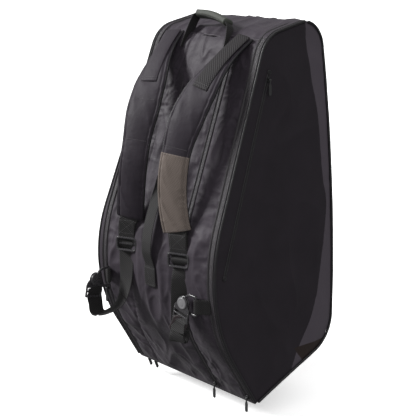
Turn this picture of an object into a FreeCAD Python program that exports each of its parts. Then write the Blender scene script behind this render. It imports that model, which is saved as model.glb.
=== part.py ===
"""Racket tournament bag, standing on its keel with the handle end up.

X runs across the bag, Y from the strap face to the rear face, Z along the bag's length.
The sketches are drawn from the keel, the sharp lower edge. The finished pieces are moved
so that the origin is in the middle of the grab handle's grip, where the bag is hung.
"""
import FreeCAD
import Part
import Sketcher
import math
import os
from FreeCAD import Placement, Rotation, Vector

os.makedirs("parts", exist_ok=True)
doc = FreeCAD.newDocument("racket_bag")

# ---------------------------------------------------------------- driving dimensions, in mm
DIMENSIONS = [
    # side profile: the corners of the bag seen from the side, measured from the keel
    ("front_corner_y", -144.8), ("front_corner_z", 250.8), ("front_radius", 330),
    ("top_front_y", 56.4), ("top_front_z", 759.2), ("top_front_radius", 70),
    ("rear_y", 232), ("top_rear_z", 791), ("top_rear_radius", 60),
    ("low_rear_z", 88), ("low_rear_radius", 80),
    # width: half the width at the keel, and how much it narrows for each mm of height
    ("half_width", 185), ("narrowing", 0.036),
    # walls, dividers and side panels
    ("wall", 3), ("side_panel", 3), ("fit_gap", 0.4), ("divider_x", 72), ("divider_panel", 2),
    ("main_zip_width", 16), ("middle_zip_width", 12), ("piping_width", 5), ("piping_height", 2.5),
    ("keel_zip_y", 6), ("keel_zip_width", 12),
    # where the wall is divided into panels: top of the lower slant, depth of the rear panel's
    # edge in front of the rear face, and drop of the top panel's edge below the top front corner
    ("low_seam_z", 130), ("rear_seam_back", 42), ("top_seam_drop", 36),
    # the line on which each side panel bends open
    ("fold_top_y", 180), ("fold_top_z", 778), ("fold_gap", 5),
    # the accent panel's front seam: how far it runs in front of the rear face, and the heights
    # above the keel at which it turns
    ("accent_low_back", 122), ("accent_foot_back", 114), ("accent_bend_back", 50),
    ("accent_mid_back", 26), ("accent_top_back", 44), ("accent_foot_z", 62), ("accent_bend_z", 150),
    ("accent_mid_z", 300), ("accent_high_z", 480), ("accent_top_z", 760),
    # pocket zip on each side panel
    ("pocket_top_y", 62), ("pocket_top_z", 684), ("pocket_low_y", -80), ("pocket_low_z", 300),
    ("pocket_zip_width", 8), ("pocket_zip_height", 1),
    # grab handle
    ("grip_y", 72), ("grip_z", 785), ("grip_length", 92), ("grip_width", 28), ("grip_height", 16),
    ("handle_foot_x", 58), ("handle_foot_y", 50), ("handle_foot_z", 736), ("handle_webbing", 22),
    ("webbing_thickness", 2),
    # carry handle on the strap face
    ("carry_x", -8), ("carry_width", 28), ("carry_low_z", 296), ("carry_top_z", 500),
    ("carry_rise", 16), ("carry_patch_length", 46),
    # shoulder straps
    ("pad_width", 62), ("pad_thickness", 14), ("pivot_x", 97), ("pivot_y", 36), ("pivot_z", 735),
    ("pad_mid_x", 60), ("pad_mid_y", -80), ("pad_mid_z", 585), ("pad_mid_x_z", 500),
    ("pad_end_x", 72), ("pad_end_y", -109), ("pad_end_z", 380), ("patch_top_z", 532),
    ("band_width", 40), ("band_low_z", 655), ("cover_thickness", 1.4),
    # strap adjuster: ladder lock, its tab and the loose webbing below it
    ("lock_x", 80), ("lock_y", -114.5), ("lock_z", 324), ("lock_width", 48), ("lock_height", 32),
    ("lock_thickness", 6), ("lock_slot", 9), ("lock_upper_slot_z", 5.5), ("lock_lower_slot_z", -8.5),
    ("lock_lip", 3), ("strap_webbing", 38), ("loop_low_z", 156), ("loop_radius", 7), ("loop_shift", 4),
    ("left_run_z", 232), ("left_run_x", 26), ("left_run_y", 20), ("left_run_rise", 18),
    # swivel buckle at the foot of each strap
    ("bar_x", 136), ("bar_y", -122), ("bar_z", 240), ("bar_radius", 2.5), ("d_height", 44),
    ("d_reach", 34), ("d_thickness", 4), ("boss_radius", 13), ("rivet_radius", 4), ("cap_radius", 10.5),
    ("swivel_width", 43), ("swivel_drop", 41), ("swivel_turn", 12), ("tab_foot_x", 155),
    ("d_rim", 4.5), ("d_straight", 14), ("plate_thickness", 4), ("cap_thickness", 2), ("ladder_top", 7),
    ("ladder_slot", 7), ("low_slot_rise", 8), ("high_slot_rise", 19), ("tab_height", 30),
    ("tab_thickness", 3), ("tab_eye_wall", 2.6), ("bar_clearance", 0.35),
    # zip sliders and pulls: where they rest, then their own sizes
    ("slider_rest", 22), ("main_left_z", 200), ("pocket_slider_rest", 12),
    ("keel_outer_x", -173), ("keel_inner_x", -151),
    ("slider_length", 10), ("slider_width", 8), ("slider_height", 3), ("pivot_height", 6),
    ("pin_radius", 1), ("pin_length", 6.4), ("post_x", 2.6), ("post_width", 1.2), ("post_depth", 3),
    ("pull_length", 31), ("pull_width", 7), ("pull_thickness", 2.4), ("knuckle_wall", 1.2),
    ("knuckle_width", 3.4), ("neck_length", 8),
]
sheet = doc.addObject("Spreadsheet::Sheet", "Sizes")
for row, (alias, value) in enumerate(DIMENSIONS, start=1):
    sheet.set("A%d" % row, alias)
    sheet.set("B%d" % row, str(value))
    sheet.setAlias("B%d" % row, alias)
doc.recompute()

SPAN = 900.0        # longer than the bag in every direction, for cutters that must run right through
CLEAR = 0.4         # gap between pieces of different bodies
RUNNING = 0.06      # radial clearance of a pin in its hole
LEAN_CLEAR = 0.45   # extra room under an upright slider on the leaning side panel
OVER = 4.0          # how far a cutter runs past the piece that it cuts
BELOW = "-60"       # height, below the keel, at which sketches of cutters start
ABOVE = "860"       # height, above the top, at which they end
PARTS = []


def size(alias):
    """The number held by one cell of the sheet."""
    return float(sheet.get(alias))


def number(expression):
    """The value of an expression written with the sheet's aliases."""
    result = sheet.evalExpression(expression)
    return float(getattr(result, "Value", result))


HANG = Placement(Vector(0, -size("grip_y"), -size("grip_z")), Rotation())


def finish(obj, label, local=Placement()):
    """Name a finished piece and move it from the keel to the frame of the grab handle."""
    obj.Label = label
    obj.Placement = HANG.multiply(local)
    PARTS.append(obj)
    return obj


# ---------------------------------------------------------------- helpers for document objects
def origin_plane(body, role):
    """One of the body's own origin planes."""
    return [item for item in body.Origin.OriginFeatures if item.Role == role][0]


def polygon_sketch(body, name, role, points):
    """A closed polygon whose corner coordinates are all bound to the sheet."""
    sketch = body.newObject("Sketcher::SketchObject", name)
    sketch.AttachmentSupport = [(origin_plane(body, role), "")]
    sketch.MapMode = "FlatFace"
    corners = [Vector(number(x), number(y), 0) for x, y in points]
    count = len(corners)
    for i in range(count):
        sketch.addGeometry(Part.LineSegment(corners[i], corners[(i + 1) % count]), False)
    for i in range(count):
        sketch.addConstraint(Sketcher.Constraint("Coincident", i, 2, (i + 1) % count, 1))
    for i, (x, y) in enumerate(points):
        for kind, expression, value in (("DistanceX", x, corners[i].x), ("DistanceY", y, corners[i].y)):
            index = sketch.addConstraint(Sketcher.Constraint(kind, i, 1, value))
            sketch.setExpression("Constraints[%d]" % index, expression)
    return sketch


def polygon_pad(name, role, points, length):
    """A Body with one polygon, padded the same way to both sides of its plane."""
    body = doc.addObject("PartDesign::Body", name)
    sketch = polygon_sketch(body, name + "_sketch", role, points)
    pad = body.newObject("PartDesign::Pad", name + "_pad")
    pad.Profile = sketch
    pad.Midplane = True
    pad.setExpression("Length", length)
    doc.recompute()
    return body


def round_corner(body, name, y, z, radius):
    """Fillet the edge that runs along X through the profile corner (y, z)."""
    base = body.Tip
    here = Vector(0, number(y), number(z))
    for i, edge in enumerate(base.Shape.Edges, start=1):
        middle = edge.CenterOfMass
        if abs(middle.y - here.y) < 0.01 and abs(middle.z - here.z) < 0.01:
            fillet = body.newObject("PartDesign::Fillet", name)
            fillet.Base = (base, ["Edge%d" % i])
            fillet.setExpression("Radius", radius)
            doc.recompute()
            return fillet
    raise ValueError("no edge at the corner " + name)


def common(name, first, second):
    obj = doc.addObject("Part::Common", name)
    obj.Base = first
    obj.Tool = second
    return obj


def cut(name, first, second):
    obj = doc.addObject("Part::Cut", name)
    obj.Base = first
    obj.Tool = second
    return obj


def fuse(name, shapes):
    obj = doc.addObject("Part::MultiFuse", name)
    obj.Shapes = shapes
    return obj


def box(name, x, y, z, centre, rotation=Rotation()):
    """A box with its three sizes bound to the sheet, centred on a point."""
    obj = doc.addObject("Part::Box", name)
    obj.setExpression("Length", x)
    obj.setExpression("Width", y)
    obj.setExpression("Height", z)
    half = Vector(number(x) / 2, number(y) / 2, number(z) / 2)
    obj.Placement = Placement(centre, rotation).multiply(Placement(half.negative(), Rotation()))
    return obj


def limits(name, low, high):
    """A plain cutting box between two corners."""
    obj = doc.addObject("Part::Box", name)
    obj.Length = high[0] - low[0]
    obj.Width = high[1] - low[1]
    obj.Height = high[2] - low[2]
    obj.Placement = Placement(Vector(*low), Rotation())
    return obj


ALONG = {"X": Rotation(Vector(0, 1, 0), 90), "Y": Rotation(Vector(1, 0, 0), -90), "Z": Rotation()}


def rod(name, radius, length, centre, axis):
    """A cylinder centred on a point, with its radius and length bound to the sheet."""
    obj = doc.addObject("Part::Cylinder", name)
    obj.setExpression("Radius", radius)
    obj.setExpression("Height", length)
    middle = Placement(Vector(0, 0, -number(length) / 2), Rotation())
    obj.Placement = Placement(centre, ALONG[axis]).multiply(middle)
    return obj


def both_sides():
    return (("right", 1), ("left", -1))


# ---------------------------------------------------------------- side profile and its wall
PROFILE = [("0", "0"), ("Sizes.front_corner_y", "Sizes.front_corner_z"),
           ("Sizes.top_front_y", "Sizes.top_front_z"), ("Sizes.rear_y", "Sizes.top_rear_z"),
           ("Sizes.rear_y", "Sizes.low_rear_z")]
CORNERS = ["front_radius", "top_front_radius", "top_rear_radius", "low_rear_radius"]


def profile_body(name):
    """The side profile as a solid block, with its four round corners."""
    body = polygon_pad(name, "YZ_Plane", PROFILE, "4 * Sizes.half_width")
    for i, radius in enumerate(CORNERS):
        y, z = PROFILE[i + 1]
        round_corner(body, "%s_round_%d" % (name, i + 1), y, z, "Sizes." + radius)
    return body


def walled_profile(name, wall):
    """The same block hollowed from both ends, which leaves the wall that follows the profile."""
    body = profile_body(name)
    base = body.Tip
    ends = ["Face%d" % (i + 1) for i, face in enumerate(base.Shape.Faces)
            if abs(face.CenterOfMass.x) > size("half_width") * 1.9]
    hollow = body.newObject("PartDesign::Thickness", name + "_hollow")
    hollow.Base = (base, ends)
    hollow.Reversed = True
    hollow.Join = 0
    hollow.setExpression("Value", wall)
    doc.recompute()
    return body


block = profile_body("profile_block")
ring = walled_profile("profile_wall", "Sizes.wall")
rim = walled_profile("profile_rim", "Sizes.piping_width")
core = cut("profile_core", block, ring)


def outline(name, inset):
    """The bag's outline seen from the front, moved in from the side panels' outer face."""
    wide = "(Sizes.half_width - (%s) * Sizes.narrowing - (%s))" % (BELOW, inset)
    narrow = "(Sizes.half_width - %s * Sizes.narrowing - (%s))" % (ABOVE, inset)
    corners = [("-" + wide, BELOW), (wide, BELOW), (narrow, ABOVE), ("-" + narrow, ABOVE)]
    return polygon_pad(name, "XZ_Plane", corners, str(2 * SPAN))


outer = outline("outline_outer", "0")
inner = outline("outline_inner", "Sizes.side_panel")
seat = outline("outline_seat", "Sizes.side_panel + Sizes.fit_gap")
gusset = outline("outline_gusset", "Sizes.side_panel + Sizes.fit_gap + Sizes.main_zip_width")
proud = outline("outline_proud", "-Sizes.piping_height")

shell = common("shell", ring, seat)
side_slab = cut("side_slab", outer, inner)
side_plates = common("side_plates", block, side_slab)

# ---------------------------------------------------------------- zones of the wall
arc_top = size("top_front_z") - size("top_seam_drop")
low_seam = size("low_seam_z")
rear_seam = size("rear_y") - size("rear_seam_back")
low_zone = limits("low_zone", (-SPAN, 0, -SPAN), (SPAN, SPAN, low_seam))
top_zone = limits("top_zone", (-SPAN, -SPAN, arc_top), (SPAN, SPAN, SPAN + arc_top))
rear_zone = limits("rear_zone", (-SPAN, rear_seam, low_seam), (SPAN, SPAN, arc_top))
other_zones = fuse("other_zones", [low_zone, top_zone, rear_zone])
zip_reach = limits("zip_reach", (-SPAN, -SPAN, -SPAN), (SPAN, size("fold_top_y"), SPAN * 2))
not_low = cut("not_low", zip_reach, low_zone)
zip_path = cut("zip_path", not_low, rear_zone)

middle_x = size("divider_x")
middle_zip = size("middle_zip_width")
centre_strip = limits("centre_strip", (-middle_x, -SPAN, -SPAN), (middle_x, SPAN, SPAN * 2))
middle_strip = limits("middle_strip", (middle_x, -SPAN, -SPAN), (middle_x + middle_zip, SPAN, SPAN * 2))
left_strip = limits("left_strip", (-SPAN, -SPAN, -SPAN), (-middle_x, SPAN, SPAN * 2))
right_strip = limits("right_strip", (middle_x + middle_zip, -SPAN, -SPAN), (SPAN, SPAN, SPAN * 2))

front_wall = cut("front_wall", shell, other_zones)
finish(common("strap_face", front_wall, centre_strip), "strap_face_panel")
zip_slab = cut("zip_slab", shell, gusset)
main_zips = common("main_zips", zip_slab, zip_path)
shell_inside = cut("shell_inside", shell, main_zips)
middle_zip_wall = common("middle_zip_wall", shell_inside, middle_strip)
finish(common("middle_zip", middle_zip_wall, zip_path), "middle_zip")
keel_zip_zone = limits("keel_zip_zone", (-SPAN, size("keel_zip_y"), -SPAN),
                       (SPAN, size("keel_zip_y") + size("keel_zip_width"), low_seam))
finish(common("keel_zip_wall", shell_inside, keel_zip_zone), "keel_zip")
zip_tools = fuse("zip_tools", [common("middle_zip_tool", middle_strip, zip_path), keel_zip_zone])
panel_wall = cut("panel_wall", shell_inside, zip_tools)
panel_front = cut("panel_front", panel_wall, other_zones)
finish(common("gusset_left", panel_front, left_strip), "front_gusset_left")
finish(common("gusset_right", panel_front, right_strip), "front_gusset_right")
finish(common("rear_panel", panel_wall, rear_zone), "rear_base_panel")
finish(common("low_panel", panel_wall, low_zone), "lower_slant_panel")
finish(common("top_panel", panel_wall, top_zone), "top_end_panel")

# ---------------------------------------------------------------- dividers
for side, sign in both_sides():
    slice_centre = Vector(sign * (size("divider_x") - size("divider_panel") / 2), 0, 0)
    sheet_slice = box("divider_slice_" + side, "Sizes.divider_panel", str(2 * SPAN), str(2 * SPAN),
                      slice_centre)
    finish(common("divider_" + side + "_cut", core, sheet_slice), "divider_" + side)

# ---------------------------------------------------------------- side panels, accent and piping
SLOPE = "(Sizes.fold_top_y / Sizes.fold_top_z)"


def fold_cutter(name, shift, far):
    """Everything on one side of the fold line, kept back from it by half the fold gap."""
    points = [(far, BELOW), ("%s * %s + %s" % (BELOW, SLOPE, shift), BELOW),
              ("%s * %s + %s" % (ABOVE, SLOPE, shift), ABOVE), (far, ABOVE)]
    return polygon_pad(name, "YZ_Plane", points, str(2 * SPAN))


def accent_corner(back, z):
    """A corner of the accent panel, at a distance in front of the rear face."""
    return ("Sizes.rear_y - Sizes." + back, z)


before_fold = fold_cutter("before_fold", "-Sizes.fold_gap / 2", "-%s / 2" % SPAN)
behind_fold = fold_cutter("behind_fold", "Sizes.fold_gap / 2", "%s / 2" % SPAN)
accent_points = [accent_corner("accent_low_back", BELOW),
                 accent_corner("accent_foot_back", "Sizes.accent_foot_z"),
                 accent_corner("accent_bend_back", "Sizes.accent_bend_z"),
                 accent_corner("accent_mid_back", "Sizes.accent_mid_z"),
                 accent_corner("accent_mid_back", "Sizes.accent_high_z"),
                 accent_corner("accent_top_back", "Sizes.accent_top_z"),
                 accent_corner("accent_top_back", ABOVE),
                 ("%s / 2" % SPAN, ABOVE), ("%s / 2" % SPAN, BELOW)]
accent_zone = polygon_pad("accent_zone", "YZ_Plane", accent_points, str(2 * SPAN))
fixed_plates = common("fixed_plates", side_plates, behind_fold)
lid_plates = common("lid_plates", side_plates, before_fold)
quarter_plates = cut("quarter_plates", fixed_plates, accent_zone)
accent_plates = common("accent_plates", fixed_plates, accent_zone)
rim_proud = common("rim_proud", rim, cut("proud_slab", proud, outer))
finish(common("rear_rim", rim_proud, behind_fold), "rear_piping")
lid_rim = common("lid_rim", rim_proud, before_fold)
half_space = {"right": limits("right_half", (0, -SPAN, -SPAN), (SPAN, SPAN, SPAN * 2)),
              "left": limits("left_half", (-SPAN, -SPAN, -SPAN), (0, SPAN, SPAN * 2))}
for side, sign in both_sides():
    half = half_space[side]
    finish(common("main_zip_%s_cut" % side, main_zips, half), "main_zip_" + side)
    finish(common("quarter_%s_cut" % side, quarter_plates, half), "side_quarter_panel_" + side)
    finish(common("accent_%s_cut" % side, accent_plates, half), "accent_panel_" + side)
    finish(common("lid_%s_cut" % side, lid_plates, half), "side_panel_" + side)
    finish(common("lid_piping_%s_cut" % side, lid_rim, half), "front_piping_" + side)

# ---------------------------------------------------------------- pocket zips on the side panels
pocket_rise = Vector(0, size("pocket_top_y") - size("pocket_low_y"),
                     size("pocket_top_z") - size("pocket_low_z"))
pocket_middle_y = (size("pocket_top_y") + size("pocket_low_y")) / 2
pocket_middle_z = (size("pocket_top_z") + size("pocket_low_z")) / 2
lean = math.degrees(math.atan(size("narrowing")))


def side_face_x(z):
    """Half the bag's width at a height above the keel."""
    return size("half_width") - size("narrowing") * z


def pocket_turn(sign):
    """Turn from upright to the pocket zip's slant, then to the side panel's lean."""
    slant = Rotation(Vector(1, 0, 0), -math.degrees(math.atan2(pocket_rise.y, pocket_rise.z)))
    return Rotation(Vector(0, 1, 0), -sign * lean).multiply(slant)


for side, sign in both_sides():
    out = side_face_x(pocket_middle_z) + size("pocket_zip_height") / 2
    middle = Vector(sign * out, pocket_middle_y, pocket_middle_z)
    strip = box("pocket_zip_%s_box" % side, "Sizes.pocket_zip_height + 1", "Sizes.pocket_zip_width",
                "sqrt(pow(Sizes.pocket_top_y - Sizes.pocket_low_y; 2)"
                " + pow(Sizes.pocket_top_z - Sizes.pocket_low_z; 2))", middle, pocket_turn(sign))
    finish(cut("pocket_zip_%s_cut" % side, strip, outer), "pocket_zip_" + side)

# ---------------------------------------------------------------- grab handle
rise_y = size("grip_y") - size("handle_foot_y")
rise_z = size("grip_z") - size("handle_foot_z")
handle_plane = Placement(Vector(0, size("handle_foot_y"), size("handle_foot_z")),
                         Rotation(Vector(1, 0, 0), math.degrees(math.atan2(rise_z, rise_y)) - 90))
RISE = "sqrt(pow(Sizes.grip_y - Sizes.handle_foot_y; 2) + pow(Sizes.grip_z - Sizes.handle_foot_z; 2))"
foot, thick = "Sizes.handle_foot_x", "Sizes.webbing_thickness"
shoulder = "(Sizes.grip_length / 2 + 4)"
arch = [("-" + foot, "-14"), ("-%s + %s" % (foot, thick), "-14"),
        ("-%s + %s" % (shoulder, thick), "%s - %s / 2" % (RISE, thick)),
        ("%s - %s" % (shoulder, thick), "%s - %s / 2" % (RISE, thick)),
        ("%s - %s" % (foot, thick), "-14"), (foot, "-14"),
        (shoulder, "%s + %s / 2" % (RISE, thick)), ("-" + shoulder, "%s + %s / 2" % (RISE, thick))]
arch_body = polygon_pad("handle_arch", "XZ_Plane", arch, "Sizes.handle_webbing")
arch_body.Placement = handle_plane
finish(cut("handle_webbing_cut", arch_body, block), "grab_handle_webbing")
grip_centre = Vector(0, size("grip_y"), size("grip_z"))
grip_block = box("grip_block", "Sizes.grip_length", "Sizes.grip_width", "Sizes.grip_height",
                 grip_centre, handle_plane.Rotation)
grip_round = doc.addObject("Part::Fillet", "grip_round")
grip_round.Base = grip_block
doc.recompute()
long_edges = [i + 1 for i, edge in enumerate(grip_block.Shape.Edges)
              if abs(edge.Length - size("grip_length")) < 0.01]
grip_round.Edges = [(i, size("grip_height") * 0.35, size("grip_height") * 0.35) for i in long_edges]
grip_slot = box("grip_slot", "Sizes.grip_length + 20", "Sizes.handle_webbing + 0.2",
                "Sizes.webbing_thickness + 0.2", grip_centre, handle_plane.Rotation)
finish(cut("grip_cut", grip_round, grip_slot), "grab_handle_grip")

# ---------------------------------------------------------------- carry handle on the strap face
FACE = "(Sizes.front_corner_y + (%s - Sizes.front_corner_z) * " \
       "(Sizes.top_front_y - Sizes.front_corner_y) / (Sizes.top_front_z - Sizes.front_corner_z))"


def face_y(z_expression, rise):
    """Y of a point that stands off the flat upper stretch of the strap face."""
    return FACE % z_expression + " - (" + rise + ")"


def front_curve_centre():
    """Centre, as Y and Z, of the large round stretch of the strap face."""
    corner = Vector(size("front_corner_y"), size("front_corner_z"), 0)
    low = (Vector(0, 0, 0) - corner).normalize()
    high = (Vector(size("top_front_y"), size("top_front_z"), 0) - corner).normalize()
    half_angle = low.getAngle(high) / 2
    centre = corner + (low + high).normalize() * (size("front_radius") / math.sin(half_angle))
    return centre.x, centre.y


CURVE_Y, CURVE_Z = front_curve_centre()


def curve_y(z):
    """Y of the round stretch of the strap face at a height above the keel."""
    return CURVE_Y - math.sqrt(size("front_radius") ** 2 - (z - CURVE_Z) ** 2)


low_y = curve_y(size("carry_low_z"))
top_z, low_z, carry_rise = "Sizes.carry_top_z", "Sizes.carry_low_z", "Sizes.carry_rise"
strip_points = [("%.3f + 6" % low_y, low_z + " - 4"), ("%.3f - %s" % (low_y, carry_rise), low_z + " + 22"),
                (face_y("(%s - 26)" % top_z, carry_rise), top_z + " - 26"),
                (face_y(top_z, "-8"), top_z),
                (face_y(top_z, "-8"), top_z + " - 6"),
                (face_y("(%s - 28)" % top_z, carry_rise + " - 3"), top_z + " - 29"),
                ("%.3f - %s + 3" % (low_y, carry_rise), low_z + " + 25"),
                ("%.3f + 6" % low_y, low_z + " + 2")]
carry_body = polygon_pad("carry_arch", "YZ_Plane", strip_points, "Sizes.carry_width")
carry_body.Placement = Placement(Vector(size("carry_x"), 0, 0), Rotation())
finish(cut("carry_cut", carry_body, block), "carry_handle")
patches = []
for name, z in (("low", size("carry_low_z") - size("carry_patch_length") / 2 - 6),
                ("top", size("carry_top_z") + size("carry_patch_length") / 2 + 2)):
    low = (size("carry_x") - size("carry_width") / 2, -SPAN, z - size("carry_patch_length") / 2)
    high = (size("carry_x") + size("carry_width") / 2, 60, z + size("carry_patch_length") / 2)
    patches.append(limits("patch_zone_" + name, low, high))
thick_face = doc.addObject("Part::Feature", "thick_face")
raised = block.Shape.copy()
raised.translate(Vector(0, -size("cover_thickness"), 0))
thick_face.Shape = raised
patch_layer = cut("patch_layer", thick_face, block)
finish(common("carry_patch_cut", patch_layer, fuse("patch_zones", patches)), "carry_handle_patches")


# ---------------------------------------------------------------- shoulder straps
def circle_through(a, b, c):
    """Centre and radius of the circle through three points of a plane."""
    d = 2 * (a[0] * (b[1] - c[1]) + b[0] * (c[1] - a[1]) + c[0] * (a[1] - b[1]))
    squares = [p[0] ** 2 + p[1] ** 2 for p in (a, b, c)]
    x = (squares[0] * (b[1] - c[1]) + squares[1] * (c[1] - a[1]) + squares[2] * (a[1] - b[1])) / d
    y = (squares[0] * (c[0] - b[0]) + squares[1] * (a[0] - c[0]) + squares[2] * (b[0] - a[0])) / d
    return (x, y), math.hypot(a[0] - x, a[1] - y)


pivot = (size("pivot_y"), size("pivot_z"))
pad_end = (size("pad_end_y"), size("pad_end_z"))
arch_centre, arch_radius = circle_through(pivot, (size("pad_mid_y"), size("pad_mid_z")), pad_end)
curve_centre, curve_radius = circle_through((size("pivot_x"), size("pivot_z")),
                                            (size("pad_mid_x"), size("pad_mid_x_z")),
                                            (size("pad_end_x"), size("pad_end_z")))


def tube(name, axis, centre, inner_radius, outer_radius, span):
    """A thick tube with a plain round section, cut later to the stretch that is wanted."""
    shells = []
    for part_name, radius in ((name + "_outer", outer_radius), (name + "_inner", inner_radius)):
        piece = doc.addObject("Part::Cylinder", part_name)
        piece.Radius = radius
        piece.Height = span
        middle = Placement(Vector(0, 0, -span / 2), Rotation())
        piece.Placement = Placement(centre, ALONG[axis]).multiply(middle)
        shells.append(piece)
    return cut(name, shells[0], shells[1])


def arch_layer(name, start, thickness):
    """A layer of the arched strap, seen from the side, start mm out from its middle line."""
    centre = Vector(0, arch_centre[0], arch_centre[1])
    return tube(name, "X", centre, arch_radius + start, arch_radius + start + thickness, SPAN)


def curve_band(name, sign, width):
    """The strap's curve seen from the front, as a band of one width."""
    centre = Vector(sign * curve_centre[0], 0, curve_centre[1])
    return tube(name, "Y", centre, curve_radius - width / 2, curve_radius + width / 2, SPAN)


half_pad = size("pad_thickness") / 2
pad_layer = arch_layer("pad_layer", -half_pad, 2 * half_pad)
cover_layer = arch_layer("cover_layer", half_pad + 0.1, size("cover_thickness"))
anchors = []
for side, sign in both_sides():
    x_low, x_high = sorted((sign * 10, sign * 170))
    pad_zone = limits("pad_zone_" + side, (x_low, -260, pad_end[1]), (x_high, pivot[0], pivot[1] + 30))
    band = curve_band("pad_curve_" + side, sign, size("pad_width"))
    flat_pad = common("pad_flat_" + side, common("pad_arched_" + side, pad_layer, band), pad_zone)
    knuckle = rod("pad_knuckle_" + side, "Sizes.pad_thickness / 2", "Sizes.pad_width - 2",
                  Vector(sign * size("pivot_x"), *pivot), "X")
    finish(fuse("pad_" + side, [flat_pad, knuckle]), "shoulder_pad_" + side)

    narrow = curve_band("cover_curve_" + side, sign, size("band_width"))
    band_zone = limits("band_zone_" + side, (x_low, -260, size("band_low_z")),
                       (x_high, pivot[0] - 9, pivot[1] + 30))
    finish(common("band_%s_cut" % side, common("band_%s" % side, cover_layer, narrow), band_zone),
           "strap_top_band_" + side)

    anchor = box("anchor_block_" + side, "Sizes.pad_width - 2", "30", "Sizes.pad_thickness",
                 Vector(sign * size("pivot_x"), pivot[0] + 16, pivot[1]))
    socket = rod("anchor_socket_" + side, "Sizes.pad_thickness / 2 + Sizes.fit_gap", "Sizes.pad_width + 4",
                 Vector(sign * size("pivot_x"), *pivot), "X")
    anchors.append(cut("anchor_" + side, cut("anchor_open_" + side, anchor, socket), block))

    tab_middle = Vector(sign * (size("lock_x") + size("pad_end_x")) / 2, size("lock_y"),
                        (pad_end[1] + size("lock_z") + size("lock_height") / 2) / 2)
    tab = box("strap_tab_%s_box" % side, "Sizes.strap_webbing + 2", "3",
              "Sizes.pad_end_z - Sizes.lock_z - Sizes.lock_height / 2 + 3", tab_middle)
    pad_tool = common("pad_tool_" + side, common("pad_tool_arched_" + side, pad_layer, band), pad_zone)
    finish(cut("strap_tab_%s_cut" % side, tab, pad_tool), "strap_tab_" + side)

finish(fuse("anchor_pair", anchors), "strap_anchors")

cover_curve = curve_band("patch_curve", 1, size("pad_width") - 6)
patch_zone = limits("patch_zone", (10, -260, pad_end[1] + 1), (170, 0, size("patch_top_z")))
finish(common("patch_cut", common("patch_layer_right", cover_layer, cover_curve), patch_zone),
       "pad_patch_right")

# ---------------------------------------------------------------- ladder locks
for side, sign in both_sides():
    lock_centre = Vector(sign * size("lock_x"), size("lock_y"), size("lock_z"))
    frame = box("lock_frame_" + side, "Sizes.lock_width", "Sizes.lock_thickness",
                "Sizes.lock_height - Sizes.lock_lip", lock_centre - Vector(0, 0, size("lock_lip") / 2))
    slots = []
    for name in ("upper", "lower"):
        slots.append(box("lock_%s_slot_%s" % (name, side), "Sizes.strap_webbing + 2", "Sizes.lock_width",
                         "Sizes.lock_slot", lock_centre + Vector(0, 0, size("lock_%s_slot_z" % name))))
    finish(cut("lock_" + side, frame, fuse("lock_slots_" + side, slots)), "ladder_lock_" + side)

# ---------------------------------------------------------------- loose webbing below the locks
lock_foot = size("lock_z") - size("lock_height") / 2


def webbing_plate(name, start, end, across):
    """A flat run of webbing between two points, with its width along one direction."""
    along = end - start
    turn = Rotation(across, Vector(0, 0, 0), along, "ZXY")
    return box(name, "Sizes.strap_webbing", "Sizes.webbing_thickness", "%.3f" % along.Length,
               (start + end) * 0.5, turn)


loop_y = size("lock_y")
loop_x = size("lock_x") + size("loop_shift")
loop_z = size("loop_low_z") + size("loop_radius")
leg = webbing_plate("loop_leg_right", Vector(loop_x, loop_y, lock_foot - CLEAR),
                    Vector(loop_x, loop_y, loop_z), Vector(1, 0, 0))
bend_centre = Vector(loop_x, loop_y - size("loop_radius"), loop_z)
bend_tube = cut("loop_bend_tube",
                rod("loop_bend_outer", "Sizes.loop_radius + Sizes.webbing_thickness / 2",
                    "Sizes.strap_webbing", bend_centre, "X"),
                rod("loop_bend_inner", "Sizes.loop_radius - Sizes.webbing_thickness / 2",
                    "Sizes.strap_webbing + %s" % OVER, bend_centre, "X"))
bend = common("loop_bend", bend_tube, limits("loop_bend_half", (0, -SPAN, 0), (SPAN, 0, loop_z)))
swing = math.radians(size("swivel_turn"))
swivel_low = size("swivel_drop") * math.cos(swing) + size("swivel_width") / 2 * math.sin(swing)
swivel_foot = size("bar_z") - swivel_low - CLEAR
leg_end = webbing_plate("loop_end_right", Vector(loop_x, loop_y - 2 * size("loop_radius"), loop_z),
                        Vector(loop_x, loop_y - 2 * size("loop_radius"), swivel_foot), Vector(1, 0, 0))
finish(fuse("loop_right", [leg, bend, leg_end]), "adjuster_webbing_right")

corner_a = Vector(-loop_x, loop_y, size("left_run_z"))
corner_b = Vector(-loop_x - size("left_run_x"), loop_y - size("left_run_y"),
                  loop_z + size("left_run_rise"))
corner_c = Vector(-size("bar_x"), size("bar_y") - size("d_reach"), loop_z)
runs = [webbing_plate("loop_run_a", Vector(-loop_x, loop_y, lock_foot - CLEAR), corner_a, Vector(1, 0, 0)),
        webbing_plate("loop_run_b", corner_a, corner_b, Vector(1, -0.2, 0)),
        webbing_plate("loop_run_c", corner_b, corner_c, Vector(0.8, -0.6, 0)),
        webbing_plate("loop_run_d", corner_c,
                      Vector(-size("bar_x") - 4, size("bar_y") - size("d_reach"), swivel_foot),
                      Vector(0, 1, 0))]
finish(fuse("loop_left", runs), "adjuster_webbing_left")

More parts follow.
